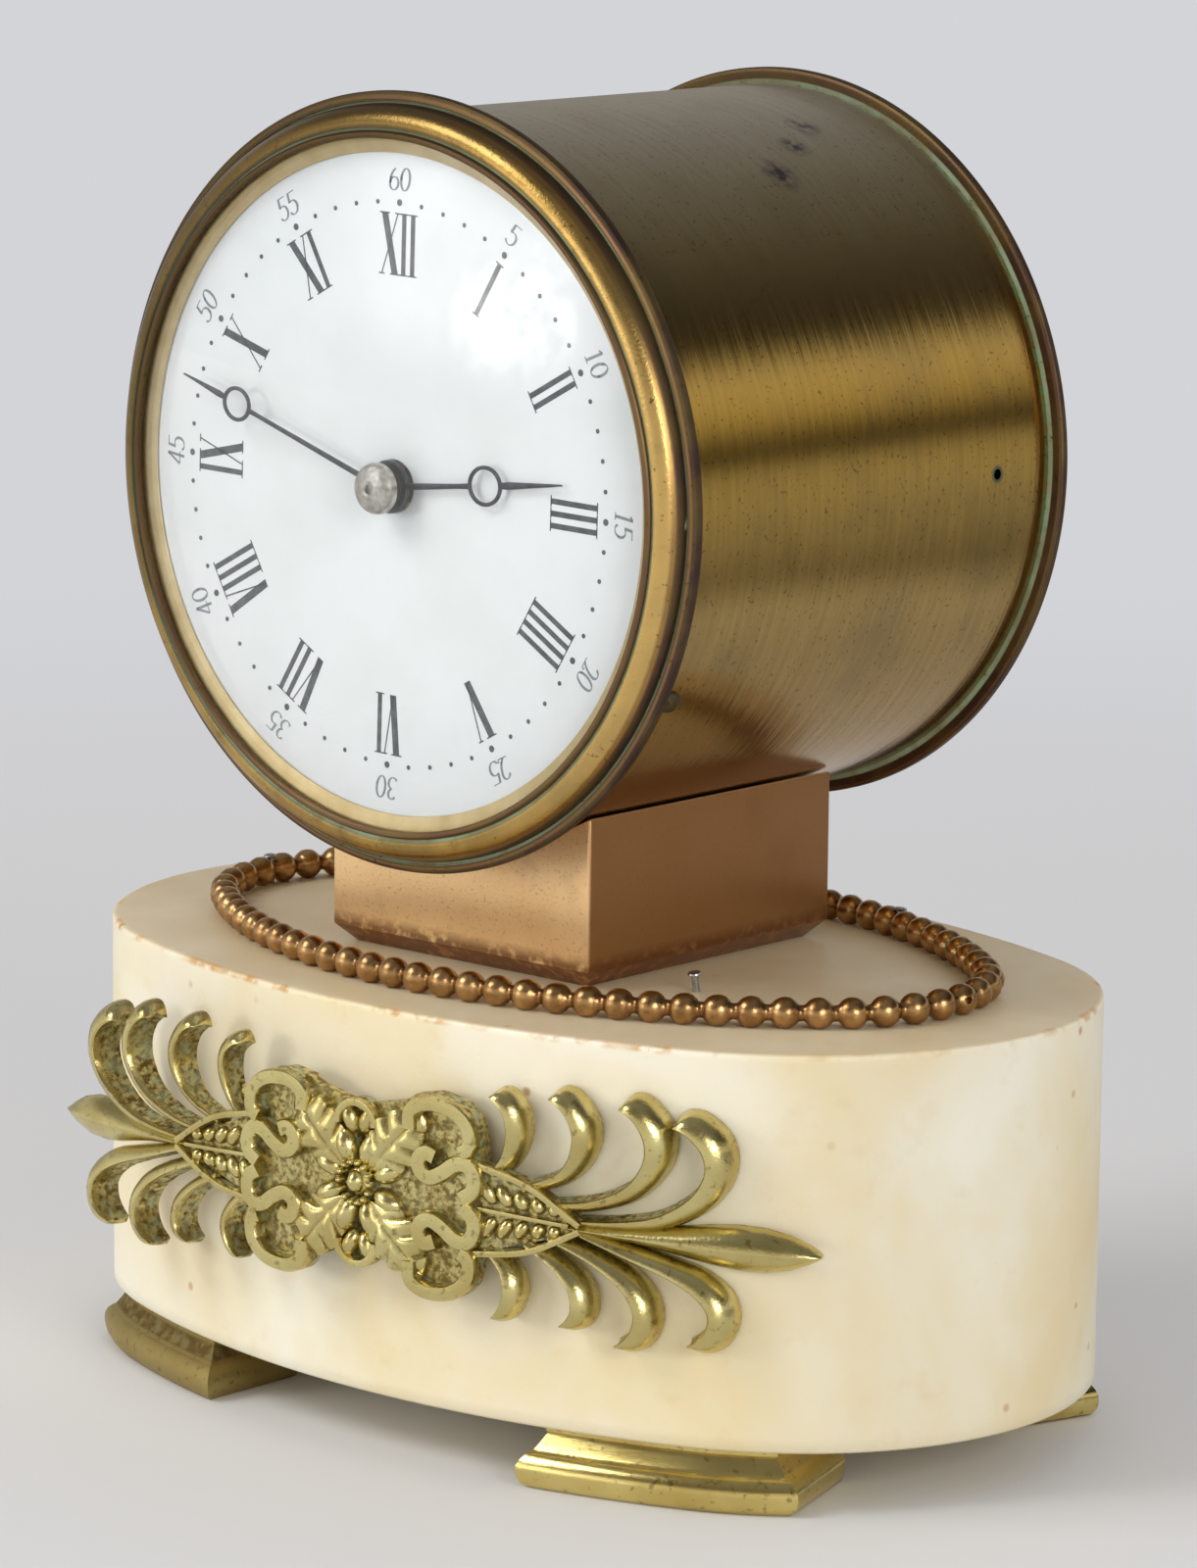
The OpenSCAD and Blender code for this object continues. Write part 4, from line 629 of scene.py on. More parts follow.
bm = newMesh()
turned(bm, domeFace(glass["outerBall"]) + domeFace(glass["outerBall"] - glass["thick"])[::-1], glass["steps"],
       loop=False)
finishPiece("domed_glass", bm, headPlace, "front_door", clearGlass, ["glass"], sharp=45)

sightRing = {"profile": [(45.8, -39.45), (42.3, -39.45), (42.28, -39.55), (42.34, -39.66), (42.6, -39.74),
                         (44.0, -40.16), (44.25, -40.2), (45.7, -39.84), (45.8, -39.75)], "steps": 192}
bm = newMesh()
turned(bm, sightRing["profile"], sightRing["steps"])
finishPiece("gilt_sight_ring", bm, headPlace, "front_door", sightBrass, ["sight_ring"])
print("case ready")

dial = {"turn": 1.45, "front": -39.35, "dots": 36.03, "dotSizes": (0.31, 0.44), "print": 0.02, "steps": 192,
        "romanIn": 26.9, "romanOut": 34.6, "romanGap": 0.28, "romanWidths": {"I": 1.25, "V": 2.7, "X": 3.0},
        "hairline": 0.2, "serif": 0.18, "minutesAt": 39.0, "minutesHigh": 2.95, "minutesWide": 0.92,
        "pen": (0.38, 0.14)}
bm = newMesh()
turned(bm, [(3.3, -37.95), (3.3, -39.1), (3.42, -39.27), (3.7, -39.35), (43.9, -39.35), (44.3, -39.2),
            (44.5, -38.8), (44.5, -37.95)], dial["steps"])
for turn in (0, 90, 180):
    turned(bm, [(0, -38.1), (1.1, -38.1), (1.1, -29.5), (0.9, -29.3), (0, -29.3)], 20, loop=False,
           place=Matrix.Rotation(math.radians(-turn), 4, "Y") @ Matrix.Translation((31, 0, 0)))
finishPiece("enamel_dial", bm, headPlace, "clock", enamel, ["dial"])


def inkShape(bm, corners, place):  # a flat patch of paint, standing a little off the dial
    raised(bm, [place @ Vector((x, dial["front"] + 0.01, z)) for x, z in corners], dial["print"] + 0.01)


def penStroke(bm, points, place):  # a broad pen held level: thick down, thin across
    thick, thin = dial["pen"]
    line = [Vector(p) for p in points]
    edges = []
    for k, p in enumerate(line):
        side = sideOf(line, k)
        upright = abs(side.x) ** 1.5
        half = (thick * upright + thin * (1 - upright)) / 2
        edges.append((p + half * side, p - half * side))
    for (a, b), (c, d) in zip(edges, edges[1:]):
        inkShape(bm, [a, c, d, b], place)


def romanStrokes(letter, width, high):  # thick and thin bars, and hairline feet as from, to, height
    thick, thin = (0.72 if letter == "I" else 0.92), dial["hairline"]
    if letter == "I":
        bars = [((width / 2, 0), (width / 2, high), thick)]
        caps = [(-0.1, width + 0.1, 0), (-0.1, width + 0.1, high)]
    elif letter == "V":
        bars = [((thick * 0.6, high), (width / 2, 0), thick * 1.15), ((width - 0.1, high), (width / 2, 0), thin)]
        caps = [(-0.35, thick * 1.3 + 0.25, high), (width - 0.55, width + 0.3, high)]
    else:
        bars = [((thick * 0.6, high), (width - thick * 0.6, 0), thick * 1.15), ((width - 0.2, high), (0.2, 0), thin)]
        caps = [(-0.3, thick * 1.3 + 0.2, high), (width - 0.7, width + 0.3, high), (-0.3, 0.7, 0),
                (width - thick * 1.3 - 0.2, width + 0.3, 0)]
    return bars, caps


def romanNumeral(bm, text, place):
    widths, gap, serif = dial["romanWidths"], dial["romanGap"], dial["serif"] / 2
    x = -(sum(widths[c] for c in text) + gap * (len(text) - 1)) / 2
    for letter in text:
        bars, caps = romanStrokes(letter, widths[letter], dial["romanOut"] - dial["romanIn"])
        for (x0, z0), (x1, z1), wide in bars:
            inkShape(bm, [(x + x0 - wide / 2, z0), (x + x0 + wide / 2, z0), (x + x1 + wide / 2, z1),
                          (x + x1 - wide / 2, z1)], place)
        for x0, x1, z in caps:
            inkShape(bm, [(x + x0, z - serif), (x + x1, z - serif), (x + x1, z + serif), (x + x0, z + serif)], place)
        x += widths[letter] + gap


def arc(cx, cy, rx, ry, start, stop, steps=12):
    turns = [math.radians(start + (stop - start) * k / steps) for k in range(steps + 1)]
    return [(cx + rx * math.cos(a), cy + ry * math.sin(a)) for a in turns]


digits = {  # pen lines of each figure on a field 0.7 wide and 1 high
    "0": [arc(0.35, 0.5, 0.27, 0.48, 90, 450, 24)],
    "1": [[(0.38, 0), (0.38, 1)], [(0.38, 0.98), (0.2, 0.86)], [(0.2, 0.02), (0.56, 0.02)]],
    "2": [arc(0.34, 0.72, 0.24, 0.26, 165, 0, 12) + arc(0.2, 0.72, 0.38, 0.66, 0, -78, 8)[1:],
          [(0.08, 0.06), (0.62, 0.06), (0.64, 0.2)]],
    "3": [arc(0.32, 0.75, 0.22, 0.23, 150, -80, 14), arc(0.32, 0.27, 0.26, 0.26, 85, -150, 16)],
    "4": [[(0.46, 0), (0.46, 1)], [(0.46, 1), (0.06, 0.3)], [(0.04, 0.28), (0.66, 0.28)]],
    "5": [[(0.14, 0.97), (0.58, 0.97)], [(0.16, 0.97), (0.13, 0.55)], arc(0.3, 0.31, 0.29, 0.3, 120, -150, 18)],
    "6": [arc(0.36, 0.29, 0.26, 0.28, 90, 450, 22), arc(0.56, 0.42, 0.46, 0.56, 115, 190, 10)],
}


def minuteFigures(bm, text, place):  # the figures lean forward a little
    high = dial["minutesHigh"]
    wide = high * dial["minutesWide"]
    x = -0.7 * wide * len(text) / 2
    for figure in text:
        for line in digits[figure]:
            penStroke(bm, [(x + (px + 0.12 * (pz - 0.5)) * wide, (pz - 0.5) * high) for px, pz in line], place)
        x += 0.7 * wide


def atHour(hour):  # turns the drawing clockwise, as seen from the front, from 12
    return Matrix.Rotation(math.radians(30 * hour + dial["turn"]), 4, "Y")


bm = newMesh()
for hour, text in enumerate("XII I II III IIII V VI VII VIII IX X XI".split()):
    romanNumeral(bm, text, atHour(hour) @ Matrix.Translation((0, 0, dial["romanIn"])))
    minuteFigures(bm, str(hour * 5 or 60), atHour(hour) @ Matrix.Translation((0, 0, dial["minutesAt"])))
for minute in range(60):
    size, top = dial["dotSizes"][minute % 5 == 0], dial["front"] - dial["print"]
    turned(bm, [(0, dial["front"]), (size, dial["front"]), (size, top), (0, top)], 14, loop=False,
           place=atHour(minute / 5) @ Matrix.Translation((0, 0, dial["dots"])))
finishPiece("dial_figures", bm, headPlace, "clock", blackEnamel)
print("dial ready")

# Hands: a tapering stem with an open ring; level is the back face, turn is clockwise from 12
handSet = {
    "minute": {"body": "minute_work", "replaces": "minute_hand", "turn": 288, "level": -41.5, "thick": 0.3,
               "length": 37, "ringAt": 27, "ring": 2.35, "stem": 0.38, "collet": 2.2, "bore": 1.55},
    "hour": {"body": "hour_work", "replaces": "hour_hand", "turn": 84, "level": -40.2, "thick": 0.3,
             "length": 29.7, "ringAt": 16.7, "ring": 2.7, "stem": 0.42, "collet": 3.4, "bore": 2.35}}
for name, hand in handSet.items():
    bm = newMesh()
    base, thick, ringR = hand["level"], hand["thick"], hand["ring"]
    inner, outer, tip = hand["ringAt"] - ringR, hand["ringAt"] + ringR, hand["length"]
    for stretch in ([(1.2, 1.25), (4, 1.0), (inner - 2, 0.75), (inner + 0.25, 0.9)],
                    [(outer - 0.25, 0.9), (outer + 1.2, 1.15), (tip - 2, 0.5), (tip, 0.25)]):
        rollGrid(bm, [[Vector((side * hand["stem"] * wide, base - depth * thick, z)) for side, depth in (
            (-1, 0), (-1, 0.45), (-0.55, 0.95), (0, 1), (0.55, 0.95), (1, 0.45), (1, 0))] for z, wide in stretch])
    tube = [(ringR, base), (ringR, base - 0.6 * thick), (ringR - 0.15, base - thick), (ringR - 0.38, base - thick),
            (ringR - 0.52, base - 0.6 * thick), (ringR - 0.52, base)]
    turned(bm, tube, 48, place=Matrix.Translation((0, 0, hand["ringAt"])) @ Matrix.Diagonal((0.96, 1, 1.06, 1)))
    turned(bm, [(hand["bore"], base + 0.4), (hand["collet"], base + 0.4), (hand["collet"], base - 0.1),
                (hand["collet"] - 0.2, base - thick), (hand["bore"], base - thick)], 64)
    spin = Matrix.Rotation(math.radians(hand["turn"]), 4, "Y")
    finishPiece(name + "_hand_steel", bm, headPlace @ spin, hand["body"], handSteel,
                [hand["replaces"]], sharp=40)

handNut = {"steps": 96, "profile": [
    (0, -43.55), (0.55, -43.5), (0.6, -43.95), (0.95, -44.1), (1.35, -44.08), (1.5, -43.98), (2.2, -43.85),
    (2.75, -43.6), (3.1, -43.2), (3.28, -42.85), (3.3, -42.1), (3.2, -42.0), (0, -42.0)]}
bm = newMesh()
turned(bm, handNut["profile"], handNut["steps"], loop=False)
finishPiece("nickel_hand_nut", bm, headPlace, "minute_work", nickel, ["hand_nut"])

rearDoor = {"face": 35, "steps": 256, "pin": 33.7, "leaf": (33.7, 35.2), "latch": (31.6, 35.4), "profile": [
    (0, 2.4), (20, 2.2), (38, 1.5), (41.6, 1.45), (42, 1.9), (43.8, 1.95), (44.2, 1.8), (44.8, 1.3),
    (46.2, 1.35), (48.5, 1.6), (49.1, 1.5), (49.4, 1.15), (49.4, 0.35), (49.25, 0.12), (49.05, 0.04),
    (48.75, 0), (48.35, 0), (48.0, 0), (47.7, 0), (47.2, 0), (44, 0), (43, 0.6), (38, 0.5), (20, 1.2), (0, 1.4)]}


def rearDoorMark(radius, y):  # the edge seen from the front has verdigris, brown and a bright line
    if y < rearDoor["face"] + 0.3 and radius > 45:
        return 1.0 if radius < 47.8 else (0.3 if 48.9 < radius < 49.2 else 0.55)
    return 0.55 if radius > 48.3 else (1.0 if 44.6 < radius < 46 or 41 < radius < 41.9 else 0.2)


bm = newMesh()
turned(bm, [(radius, rearDoor["face"] + rise) for radius, rise in rearDoor["profile"]], rearDoor["steps"], loop=False)
setMarks(bm, rearDoorMark)
hingeAndLatch(bm, rearDoor)
finishPiece("turned_rear_door", bm, headPlace, "back_door", bezelBrass, ["rear_door"], sharp=28)

doorKnob = {"at": (38.5, 0, 0), "steps": 40, "profile": [
    (0, 34.4), (1.8, 34.4), (1.8, 35.3), (1, 35.3), (1, 36.75), (1.6, 36.8), (1.5, 37.2), (1.25, 37.6), (1.5, 38.1),
    (2.1, 38.5), (2.25, 38.9), (2.15, 39.4), (1.6, 39.9), (0.8, 40.08), (0, 40.1)]}
bm = newMesh()
turned(bm, doorKnob["profile"], doorKnob["steps"], loop=False, place=Matrix.Translation(doorKnob["at"]))
finishPiece("turned_door_knob", bm, headPlace, "back_door", movementBrass, ["door_knob"])
print("hands and doors ready")

# The mount is drawn flat, along and height, then wrapped round the bend of the casting
mount = {"bend": 149.3, "centre": 1.3, "middle": 36.4, "leftHigher": 1.4, "tips": {1: 63.5, -1: 60.4},
         "leaf": {"length": 11.8, "wide": 7.4, "lobes": 4, "high": 4.0, "low": 1.6, "curl": 0.4}}
# Fronds of the right half as crest points: along, height, width of the rounded outer side, relief
fronds = {
    "up1": [(20.6, 41.0, 1.3, 2.6), (22.4, 43.4, 2.0, 3.0), (23.2, 46.4, 2.5, 3.5), (22.9, 48.9, 2.4, 3.7),
            (21.6, 50.3, 2.0, 3.5), (20.7, 50.7, 0.7, 3.2)],
    "up2": [(25.0, 39.8, 1.3, 2.6), (29.5, 41.8, 1.8, 3.0), (31.6, 44.2, 2.4, 3.6), (32.3, 47.2, 2.9, 4.0),
            (31.4, 49.7, 2.6, 4.0), (29.9, 51.1, 2.2, 3.8), (28.9, 51.5, 0.7, 3.3)],
    "up3": [(28.5, 38.0, 1.2, 2.6), (34.0, 39.0, 1.7, 3.0), (38.8, 41.2, 2.3, 3.5), (41.3, 44.4, 2.9, 4.0),
            (41.7, 47.2, 3.4, 4.2), (40.7, 49.5, 3.0, 4.2), (39.2, 50.8, 2.5, 3.9), (38.2, 51.1, 0.8, 3.4)],
    "up4": [(32.4, 36.2, 1.0, 2.5), (38.0, 36.8, 1.5, 2.9), (43.0, 38.0, 2.1, 3.3), (47.2, 40.7, 2.8, 3.8),
            (49.2, 43.8, 3.3, 4.2), (49.1, 46.3, 3.6, 4.3), (47.7, 48.2, 3.2, 4.2), (46.1, 49.2, 2.5, 3.9),
            (45.1, 49.4, 0.8, 3.4)],
    "low1": [(19.9, 31.0, 1.3, 2.6), (22.0, 28.9, 1.9, 3.0), (22.9, 26.8, 2.4, 3.5), (22.7, 24.8, 2.2, 3.6),
             (21.8, 23.2, 1.8, 3.4), (21.1, 22.5, 0.7, 3.0)],
    "low2": [(25.4, 32.2, 1.3, 2.6), (29.6, 29.7, 1.8, 3.0), (31.8, 27.2, 2.5, 3.6), (32.2, 25.0, 2.7, 3.8),
             (31.5, 23.6, 2.2, 3.7), (30.5, 22.7, 0.7, 3.2)],
    "low3": [(28.6, 33.4, 1.2, 2.6), (34.2, 31.2, 1.7, 3.0), (38.4, 28.6, 2.4, 3.6), (40.3, 26.0, 2.9, 4.0),
             (40.3, 23.8, 3.0, 4.1), (39.2, 22.1, 2.6, 3.9), (37.8, 21.0, 0.8, 3.4)],
    "low4": [(32.6, 34.4, 1.0, 2.5), (38.2, 32.5, 1.5, 2.9), (43.8, 30.6, 2.1, 3.3), (47.6, 28.8, 2.8, 3.8),
             (49.8, 26.6, 3.3, 4.2), (49.7, 24.4, 3.3, 4.3), (48.5, 22.9, 2.7, 4.0), (47.2, 22.0, 0.8, 3.4)]}


def across(side, s):  # the left half mirrors the right
    return s if side == 1 else 2 * mount["centre"] - s


def half(side, points, lift=0):
    return [(across(side, s), z + lift) for s, z in points]


def turnedSpot(s, z, turn, x, y, high):  # a point of a drawing that is turned about s, z
    return Vector((s + x * math.cos(turn) - y * math.sin(turn), -high, z + x * math.sin(turn) + y * math.cos(turn)))


def frond(points, below, side):  # one ridge with a rounded outer side and a scooped inner side
    rows, marks = [], []
    line = smoothLine(points, 5)
    for k, (s, z, wide, high) in enumerate(line):
        out = sideOf(line, k) * (-1 if below else 1)
        curl = max(0, k / len(line) - 0.35) / 0.65
        ring, tones = [], []
        for share, lift, tone in ((-0.12, -0.2, 0.65), (-0.08 + 0.1 * curl, 0.25, 0.75), (0.12 * curl, 0.62, 0.66),
                                  (0.0, 0.95, 0.25), (0.06, 1.0, 0.0), (0.2, 0.985, 0.0), (0.4, 0.93, 0.0),
                                  (0.62, 0.8, 0.05), (0.82, 0.6, 0.1), (0.95, 0.36, 0.2), (1.0, 0.12, 0.3),
                                  (1.0, -0.2, 0.4)):
            spot = Vector((s, z)) + out * share * (max(wide, 0.5) if share > 0 else 3)
            ring.append(Vector((across(side, spot.x), -max(lift, 0) * high, spot.y)))
            tones.append(tone)
        rows.append(ring)
        marks.append(tones)
    rollGrid(bm, rows, marks)


def band(points, wide, high, tone=0.0):  # a flat-topped ridge along a line
    low, rows, marks = 0.8, [], []
    line = smoothLine(points, 6)
    for k, p in enumerate(line):
        out = sideOf(line, k) * wide / 2
        ring = []
        for share, lift in ((-1, 0), (-1, 0.4), (-0.98, 0.84), (-0.78, 0.985), (-0.312, 1), (0.312, 1),
                            (0.78, 0.985), (0.98, 0.84), (1, 0.4), (1, 0)):
            spot = Vector(p[:2]) + out * share
            ring.append(Vector((spot.x, -(low + (high - low) * lift), spot.y)))
        rows.append(ring)
        marks.append([0.9, 0.9, 0.3, 0.05, tone, tone, 0.05, 0.3, 0.9, 0.9])
    rollGrid(bm, rows, marks)


def knob(s, z, wide, tall, high, low=1.0, turn=0.0, sides=12):  # a low rounded boss, turned in its plane
    rows, marks = [], [0.9]
    for step in range(6):
        a = math.radians(90 * step / 5)
        shrink, rise = math.cos(a) if step < 5 else 0.02, math.sin(a)
        rows.append([turnedSpot(s, z, turn, shrink * wide * math.cos(b), shrink * tall * math.sin(b),
                                low + (high - low) * rise) for b in (fullTurn * j / sides for j in range(sides))])
        marks.append(0.8 - 0.8 * min(1, rise * 1.3))
    rollGrid(bm, [[p + Vector((0, 0.6, 0)) for p in rows[0]]] + rows, marks)


def leaf(s, z, turn):  # a serrated leaf with a sunk midrib, thickest at its middle
    length, wide, lobes, high, low, curl = mount["leaf"].values()
    rows, marks = [], []
    steps, columns = lobes * 8, 14
    for k in range(steps + 1):
        u = k / steps
        body = math.sin(math.pi * min(1, 0.12 + 0.88 * u) ** 0.8) ** 0.75
        saw = abs(math.sin(math.pi * lobes * u)) ** 0.7
        reach = wide / 2 * body * (0.8 + 0.2 * saw) + 0.05
        rise = low + (high - low) * (math.sin(math.pi * (0.15 + 0.8 * u)) ** 0.6) + curl * max(0, u - 0.6)
        ring, tones = [], []
        for v in [2 * j / columns - 1 for j in range(columns + 1)]:
            ridge = 0.5 * (1 - saw) * min(1, 1.6 * abs(v)) + 0.45 * math.exp(-(v / 0.12) ** 2)
            x = u * length + 2.1 * abs(v) * (1 - u) ** 0.6  # the lobes sweep forward
            ring.append(turnedSpot(s, z, turn, x, v * reach, rise - 0.75 * abs(v) ** 2.2 - ridge))
            tones.append(min(1, 0.85 * ridge + 0.2 * abs(v) ** 3))
        for v in (1, 0.3, -0.3, -1):
            x = u * length + 2.1 * abs(v) * (1 - u) ** 0.6
            ring.append(turnedSpot(s, z, turn, x, v * reach * 0.96, 0.6))
            tones.append(0.9)
        rows.append(ring)
        marks.append(tones)
    rollGrid(bm, rows, marks)


def plate(outline, side, high, tone):  # flat ground behind the ornament
    layer = bm.verts.layers.float["mark"]
    for vert in raised(bm, [(s, 0, z) for s, z in outline[::side]], high):
        vert[layer] = tone


bm = newMesh()
middle, centre = mount["middle"], mount["centre"]
for side in (1, -1):
    rise = 0 if side == 1 else mount["leftHigher"]
    for name, points in fronds.items():
        frond([(s, z + rise, wide, high) for s, z, wide, high in points], name.startswith("low"), side)
    # spear bud: two flat cheeks that meet in a ridge
    rows = []
    for s, reach, high in ((31, 0.7, 2.6), (34, 0.85, 2.7), (38, 1.0, 2.7), (42, 1.35, 2.7), (46, 1.95, 2.9),
                           (49.5, 2.5, 3.1), (53, 2.85, 3.2), (56.5, 2.75, 3.0), (59.5, 2.15, 2.7),
                           (61.8, 1.25, 2.2), (63.0, 0.6, 1.8), (63.5, 0.2, 1.5)):
        s = 31 + (s - 31) * (mount["tips"][side] - 31) / 32.5
        mid = 35.2 - 0.036 * (s - 31) + rise * 1.2
        rows.append([Vector((across(side, s), -lift * high, mid + share * reach)) for share, lift in (
            (-1, 0), (-1, 0.25), (-0.86, 0.5), (-0.5, 0.8), (-0.06, 1), (0.06, 1), (0.5, 0.8), (0.86, 0.5),
            (1, 0.25), (1, 0))])
    rollGrid(bm, rows, [[0.5, 0.2, 0, 0, 0, 0, 0, 0, 0.2, 0.5]] * len(rows))
    # ribbed panel: raised border, midrib and slanting ribs
    plate(half(side, [(17.5, 42.3), (33.3, 35.9), (33.3, 34.8), (17.5, 30)], rise), side, 1.9, 0.62)
    band(half(side, [(18.6, 42.0), (26, 40.0), (33.0, 35.7)], rise), 0.95, 3.0)
    band(half(side, [(18.6, 30.4), (26, 31.6), (33.0, 35.0)], rise), 0.95, 3.0)
    band(half(side, [(18.4, 36.3), (31.5, 35.5)], rise), 0.6, 2.7)
    for k in range(5):
        reach = 1.45 * (1 - k / 6.4)
        for way in (1, -1):
            knob(across(side, 20.25 + 2.3 * k), 36.1 - 0.08 * k + rise + way * (0.85 + reach), 0.95, reach + 0.4,
                 2.85, 1.7, turn=side * way * 0.6)
    # ground of the scroll field and its raised loops, the same above and below
    plate(half(side, [(2, 47.2), (8.2, 48.6), (9.6, 49.6), (13, 50.2), (16.8, 49.3), (18.9, 47.2), (19.6, 44.0),
                      (19.6, 30.4), (18.6, 27.0), (16.5, 25.2), (12.5, 24.9), (9.6, 26.4), (8.2, 27.8), (2, 28.4)]),
          side, 1.7, 0.58)
    for flip, mid in ((1, 0), (-1, 73.7)):
        for wide, high, points in (
                (2.1, 3.7, [(9.6, 45.4), (9.8, 47.8), (12.1, 49.0), (15.4, 48.7), (17.6, 47.2), (18.3, 45.3),
                            (18.0, 43.9), (17.0, 43.3)]),
                (2.3, 3.6, [(13.3, 42.3), (12.0, 42.7), (11.0, 41.8), (11.2, 40.3), (12.6, 39.6), (14.4, 40.4),
                            (16.2, 41.7), (17.9, 41.8), (18.9, 40.4), (18.7, 38.6), (17.2, 37.4)])):
            band(half(side, [(s, mid + flip * z) for s, z in points]), wide, high, tone=0.02)
    # flower: leaf to each corner, shell above and below, round petals about the boss
    for way in (1, -1):
        leaf(centre + side * 1.9, middle + 0.6 + way * 1.9, math.atan2(way * 1.0, side * 0.92))
        for aside, wide, tall in ((22, 2.6, 1.5), (68, 2.4, 1.45)):
            a = math.radians(90 * way - side * way * aside)
            knob(centre + 4.9 * math.cos(a), middle + 0.7 + 4.9 * math.sin(a), wide, tall, 3.8, 1.6, turn=a, sides=16)
        knob(centre + side * 1.3, middle + 0.7 + way * 8.2, 1.25, 2.2, 3.4, 1.4, turn=-side * way * 0.35)
        band([(centre + 2.9 * math.cos(a), middle + 0.7 + way * (7.6 + 2.9 * math.sin(a)))
              for a in (math.radians(90 + side * 18 * k) for k in range(6))], 1.1, 3.3)
for k in range(14):
    a = fullTurn * k / 14
    knob(centre + 2.35 * math.cos(a), middle + 0.9 + 2.65 * math.sin(a), 0.52, 0.52, 4.0, 2.4, sides=8)
knob(centre, middle + 0.9, 2.1, 2.4, 3.4, 1.2, sides=20)
knob(centre, middle + 0.9, 1.35, 1.6, 4.2, 2.2, sides=20)

for vert in bm.verts:  # wrap the flat drawing round the bend of the casting
    vert.co.y *= 0.97
    reach, turn = mount["bend"] - vert.co.y, vert.co.x / mount["bend"]
    vert.co.x, vert.co.y = reach * math.sin(turn), mount["bend"] - reach * math.cos(turn)
for side in (1, -1):  # the two lugs behind it
    turned(bm, [(0, 2.3), (1.2, 2.3), (1.2, 14), (0, 14)], 20, loop=False,
           place=Matrix.Translation((side * 30 + 0.4, 0, 36.8 - side * 0.8)))
finishPiece("palmette_mount", bm, mountPlace, "clock", mountBrass, ["front_mount"], sharp=48)
print("mount ready")

# A sheet of pale paper under the clock and a wall of the same kind behind it
stage = {"floor": "#d9d8d6", "wall": "#d3d4d8", "radius": 6}


def cameraPath(tree):  # the ray's kinds, and those that the camera sees directly or through glass
    path = addNode(tree, "LightPath", out=None)
    return path, addNode(tree, "Math", {0: path["Is Camera Ray"], 1: path["Is Transmission Ray"]},
                         operation="MAXIMUM", use_clamp=True)


# Uncoated paper, pressed flat: matt and even, fading into the wall's shade away from the clock; polished metal sees
# it as a glow, a painted reflection
floorMaterial, tree, shader = newMaterial("paper_floor", Base_Color=stage["floor"], Roughness=0.75)
path, seen = cameraPath(tree)
spot = addNode(tree, "TexCoord", out="Object")
away = addNode(tree, "VectorMath", {0: spot}, out="Value", operation="LENGTH")
far = addNode(tree, "MapRange", {0: away, 1: 0.2, 2: 0.75}, interpolation_type="SMOOTHSTEP")
nearBy = addNode(tree, "MapRange", {0: away, 1: 0.19, 2: 0.25})
behind = addNode(tree, "MapRange", {0: addNode(tree, "SeparateXYZ", {0: spot}, out=1), 1: -0.02, 2: 0.05})
mirrored = addNode(tree, "ValToRGB", {0: away}, stops=(  # what polished metal shows of the floor: a painted reflection, a glow with a darker band
    (0.2, "#d4d2ce"), (0.3, "#8c8880"), (0.45, "#b0aea8"), (0.9, "#cccccd")))
mirrored = stained(tree, spot, "#ecebe8", (behind, mirrored))
glow = addNode(tree, "Emission", {0: stained(tree, spot, stage["wall"], (path["Is Glossy Ray"], mirrored))})
share = addNode(tree, "Math", {0: maskOf(tree, spot, far, seen),
                               1: maskOf(tree, spot, nearBy, path["Is Glossy Ray"])},
                operation="MAXIMUM", use_clamp=True)
mixed = addNode(tree, "MixShader", {0: share, 1: shader.outputs[0], 2: glow})
tree.links.new(mixed, tree.nodes["Material Output"].inputs["Surface"])
bm = bmesh.new()
bmesh.ops.create_circle(bm, cap_ends=True, radius=stage["radius"], segments=96)
mesh = bpy.data.meshes.new("floor")
bm.to_mesh(mesh)
bm.free()
mesh.materials.append(floorMaterial)
floor = bpy.data.objects.new("floor", mesh)
scene.collection.objects.link(floor)

world = bpy.data.worlds.new("studio")
scene.world = world
world.use_nodes = True
tree = world.node_tree
tree.nodes.clear()
path, seen = cameraPath(tree)
towards = addNode(tree, "TexCoord", out="Generated")
x, y, z = addNode(tree, "SeparateXYZ", {0: towards}, out=None)
room = addNode(tree, "ValToRGB", {0: z}, stops=(  # a dim room above a bright screen
    (0.0, "#c6c6ca"), (0.03, "#615d58"), (0.06, "#35322e"), (0.1, "#4c4842"), (0.17, "#c8c4bc"), (0.26, "#f2efe8"),
    (0.33, "#fffdf6"), (0.37, "#c6c1b6"), (0.42, "#403c36"), (0.52, "#292622"), (0.62, "#36332e"),
    (1.0, "#8e8e90")))
before = addNode(tree, "ValToRGB", {0: z}, stops=(
    (0.0, "#e6e4e0"), (0.3, "#dedad4"), (0.5, "#6f6a62"), (1.0, "#8e8e90")))
leftward = addNode(tree, "MapRange", {0: x, 1: 0.15, 2: -0.45})
frontward = addNode(tree, "MapRange", {0: y, 1: 0.2, 2: -0.25})
colour = stained(tree, towards, room, (leftward, 0.6, "#b4b2ae"), (frontward, before),
                 (path["Is Diffuse Ray"], "#d0d0d4"), (seen, stage["wall"]),
                 # light that the dial has had through the glass once isn't counted again
                 (path["Is Transmission Ray"], path["Diffuse Depth"], "#000000"))
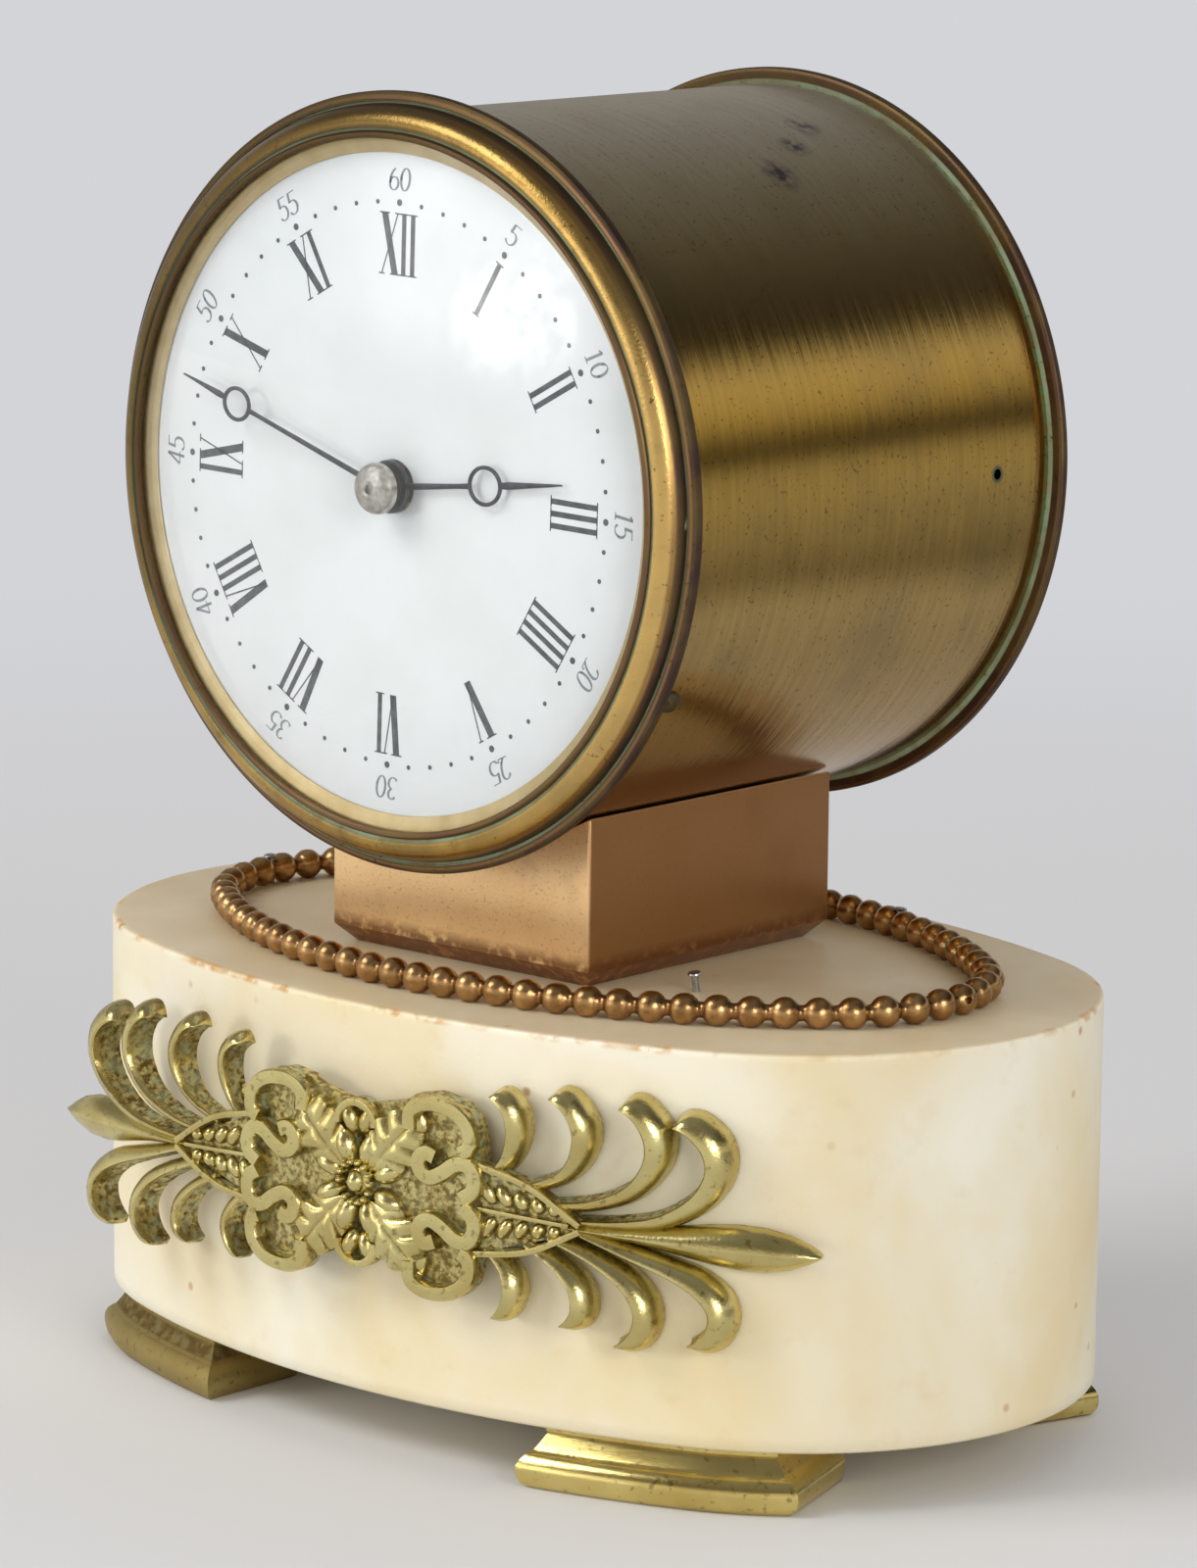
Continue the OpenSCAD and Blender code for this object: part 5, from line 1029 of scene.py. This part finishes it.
# a far window at the left, which the glass shows as a soft patch
window = {"way": (-0.44, -0.89, 0.11), "strength": 8.5, "glow": 0.27}
facing = addNode(tree, "VectorMath", {0: towards, 1: window["way"]}, out="Value", operation="DOT_PRODUCT")
pane, around, sill = (
    addNode(tree, "MapRange", {0: value, 1: low, 2: high, 4: most}, interpolation_type="SMOOTHSTEP")
    for value, low, high, most in ((facing, 0.9866, 0.9982, 1), (facing, 0.9, 0.99, window["glow"]), (z, 0, 0.12, 1)))
lit = addNode(tree, "Math", {0: maskOf(tree, towards, pane, (0.07, 0.32, 0.6)), 1: around}, operation="MAXIMUM",
              use_clamp=True)
lit = maskOf(tree, towards, lit, maskOf(tree, towards, sill, path["Is Glossy Ray"]))
strength = addNode(tree, "MapRange", {0: lit, 3: 1, 4: window["strength"]})
addNode(tree, "OutputWorld", {0: addNode(tree, "Background", {0: colour, 1: strength})}, out=None)

lamps = {  # name: place, size in metres, watts
    "key_softbox": ((-0.8, -1.1, 1.25), (0.8, 0.7), 11),
    "left_fill": ((-0.64, -1.1, 0.3), (0.31, 0.34), 4),
    "right_fill": ((1.45, -0.6, 0.6), (0.6, 0.6), 8)}
for name, (place, size, watts) in lamps.items():
    lamp = bpy.data.lights.new(name, "AREA")
    lamp.shape, lamp.size, lamp.size_y, lamp.energy = "RECTANGLE", size[0], size[1], watts
    holder = bpy.data.objects.new(name, lamp)
    aim = Vector((0, 0, 0.09)) - Vector(place)
    holder.matrix_world = Matrix.LocRotScale(Vector(place), aim.to_track_quat("-Z", "Y"), None)
    holder.visible_transmission = False
    holder.visible_glossy = name != "left_fill"  # the window's patch stands in for it there
    scene.collection.objects.link(holder)

view = {"place": (541.6, -606.51, 234.19), "yaw": 41.62, "pitch": -10.67, "roll": 0.56, "lens": 144.51}
yaw, pitch, roll = (math.radians(view[key]) for key in ("yaw", "pitch", "roll"))
facing = (Matrix.Rotation(yaw, 3, "Z") @ Matrix.Rotation(math.pi / 2 + pitch, 3, "X")
          @ Matrix.Rotation(roll, 3, "Z"))
camera = bpy.data.objects.new("camera", bpy.data.cameras.new("camera"))
camera.data.sensor_fit, camera.data.sensor_height, camera.data.lens = "VERTICAL", 36, view["lens"]
camera.data.clip_start, camera.data.clip_end = 0.05, 20
camera.matrix_world = Matrix.LocRotScale(Vector(view["place"]) / 1000, facing, None)
scene.collection.objects.link(camera)
scene.camera = camera
scene.view_settings.view_transform = "Standard"

print("scene ready")
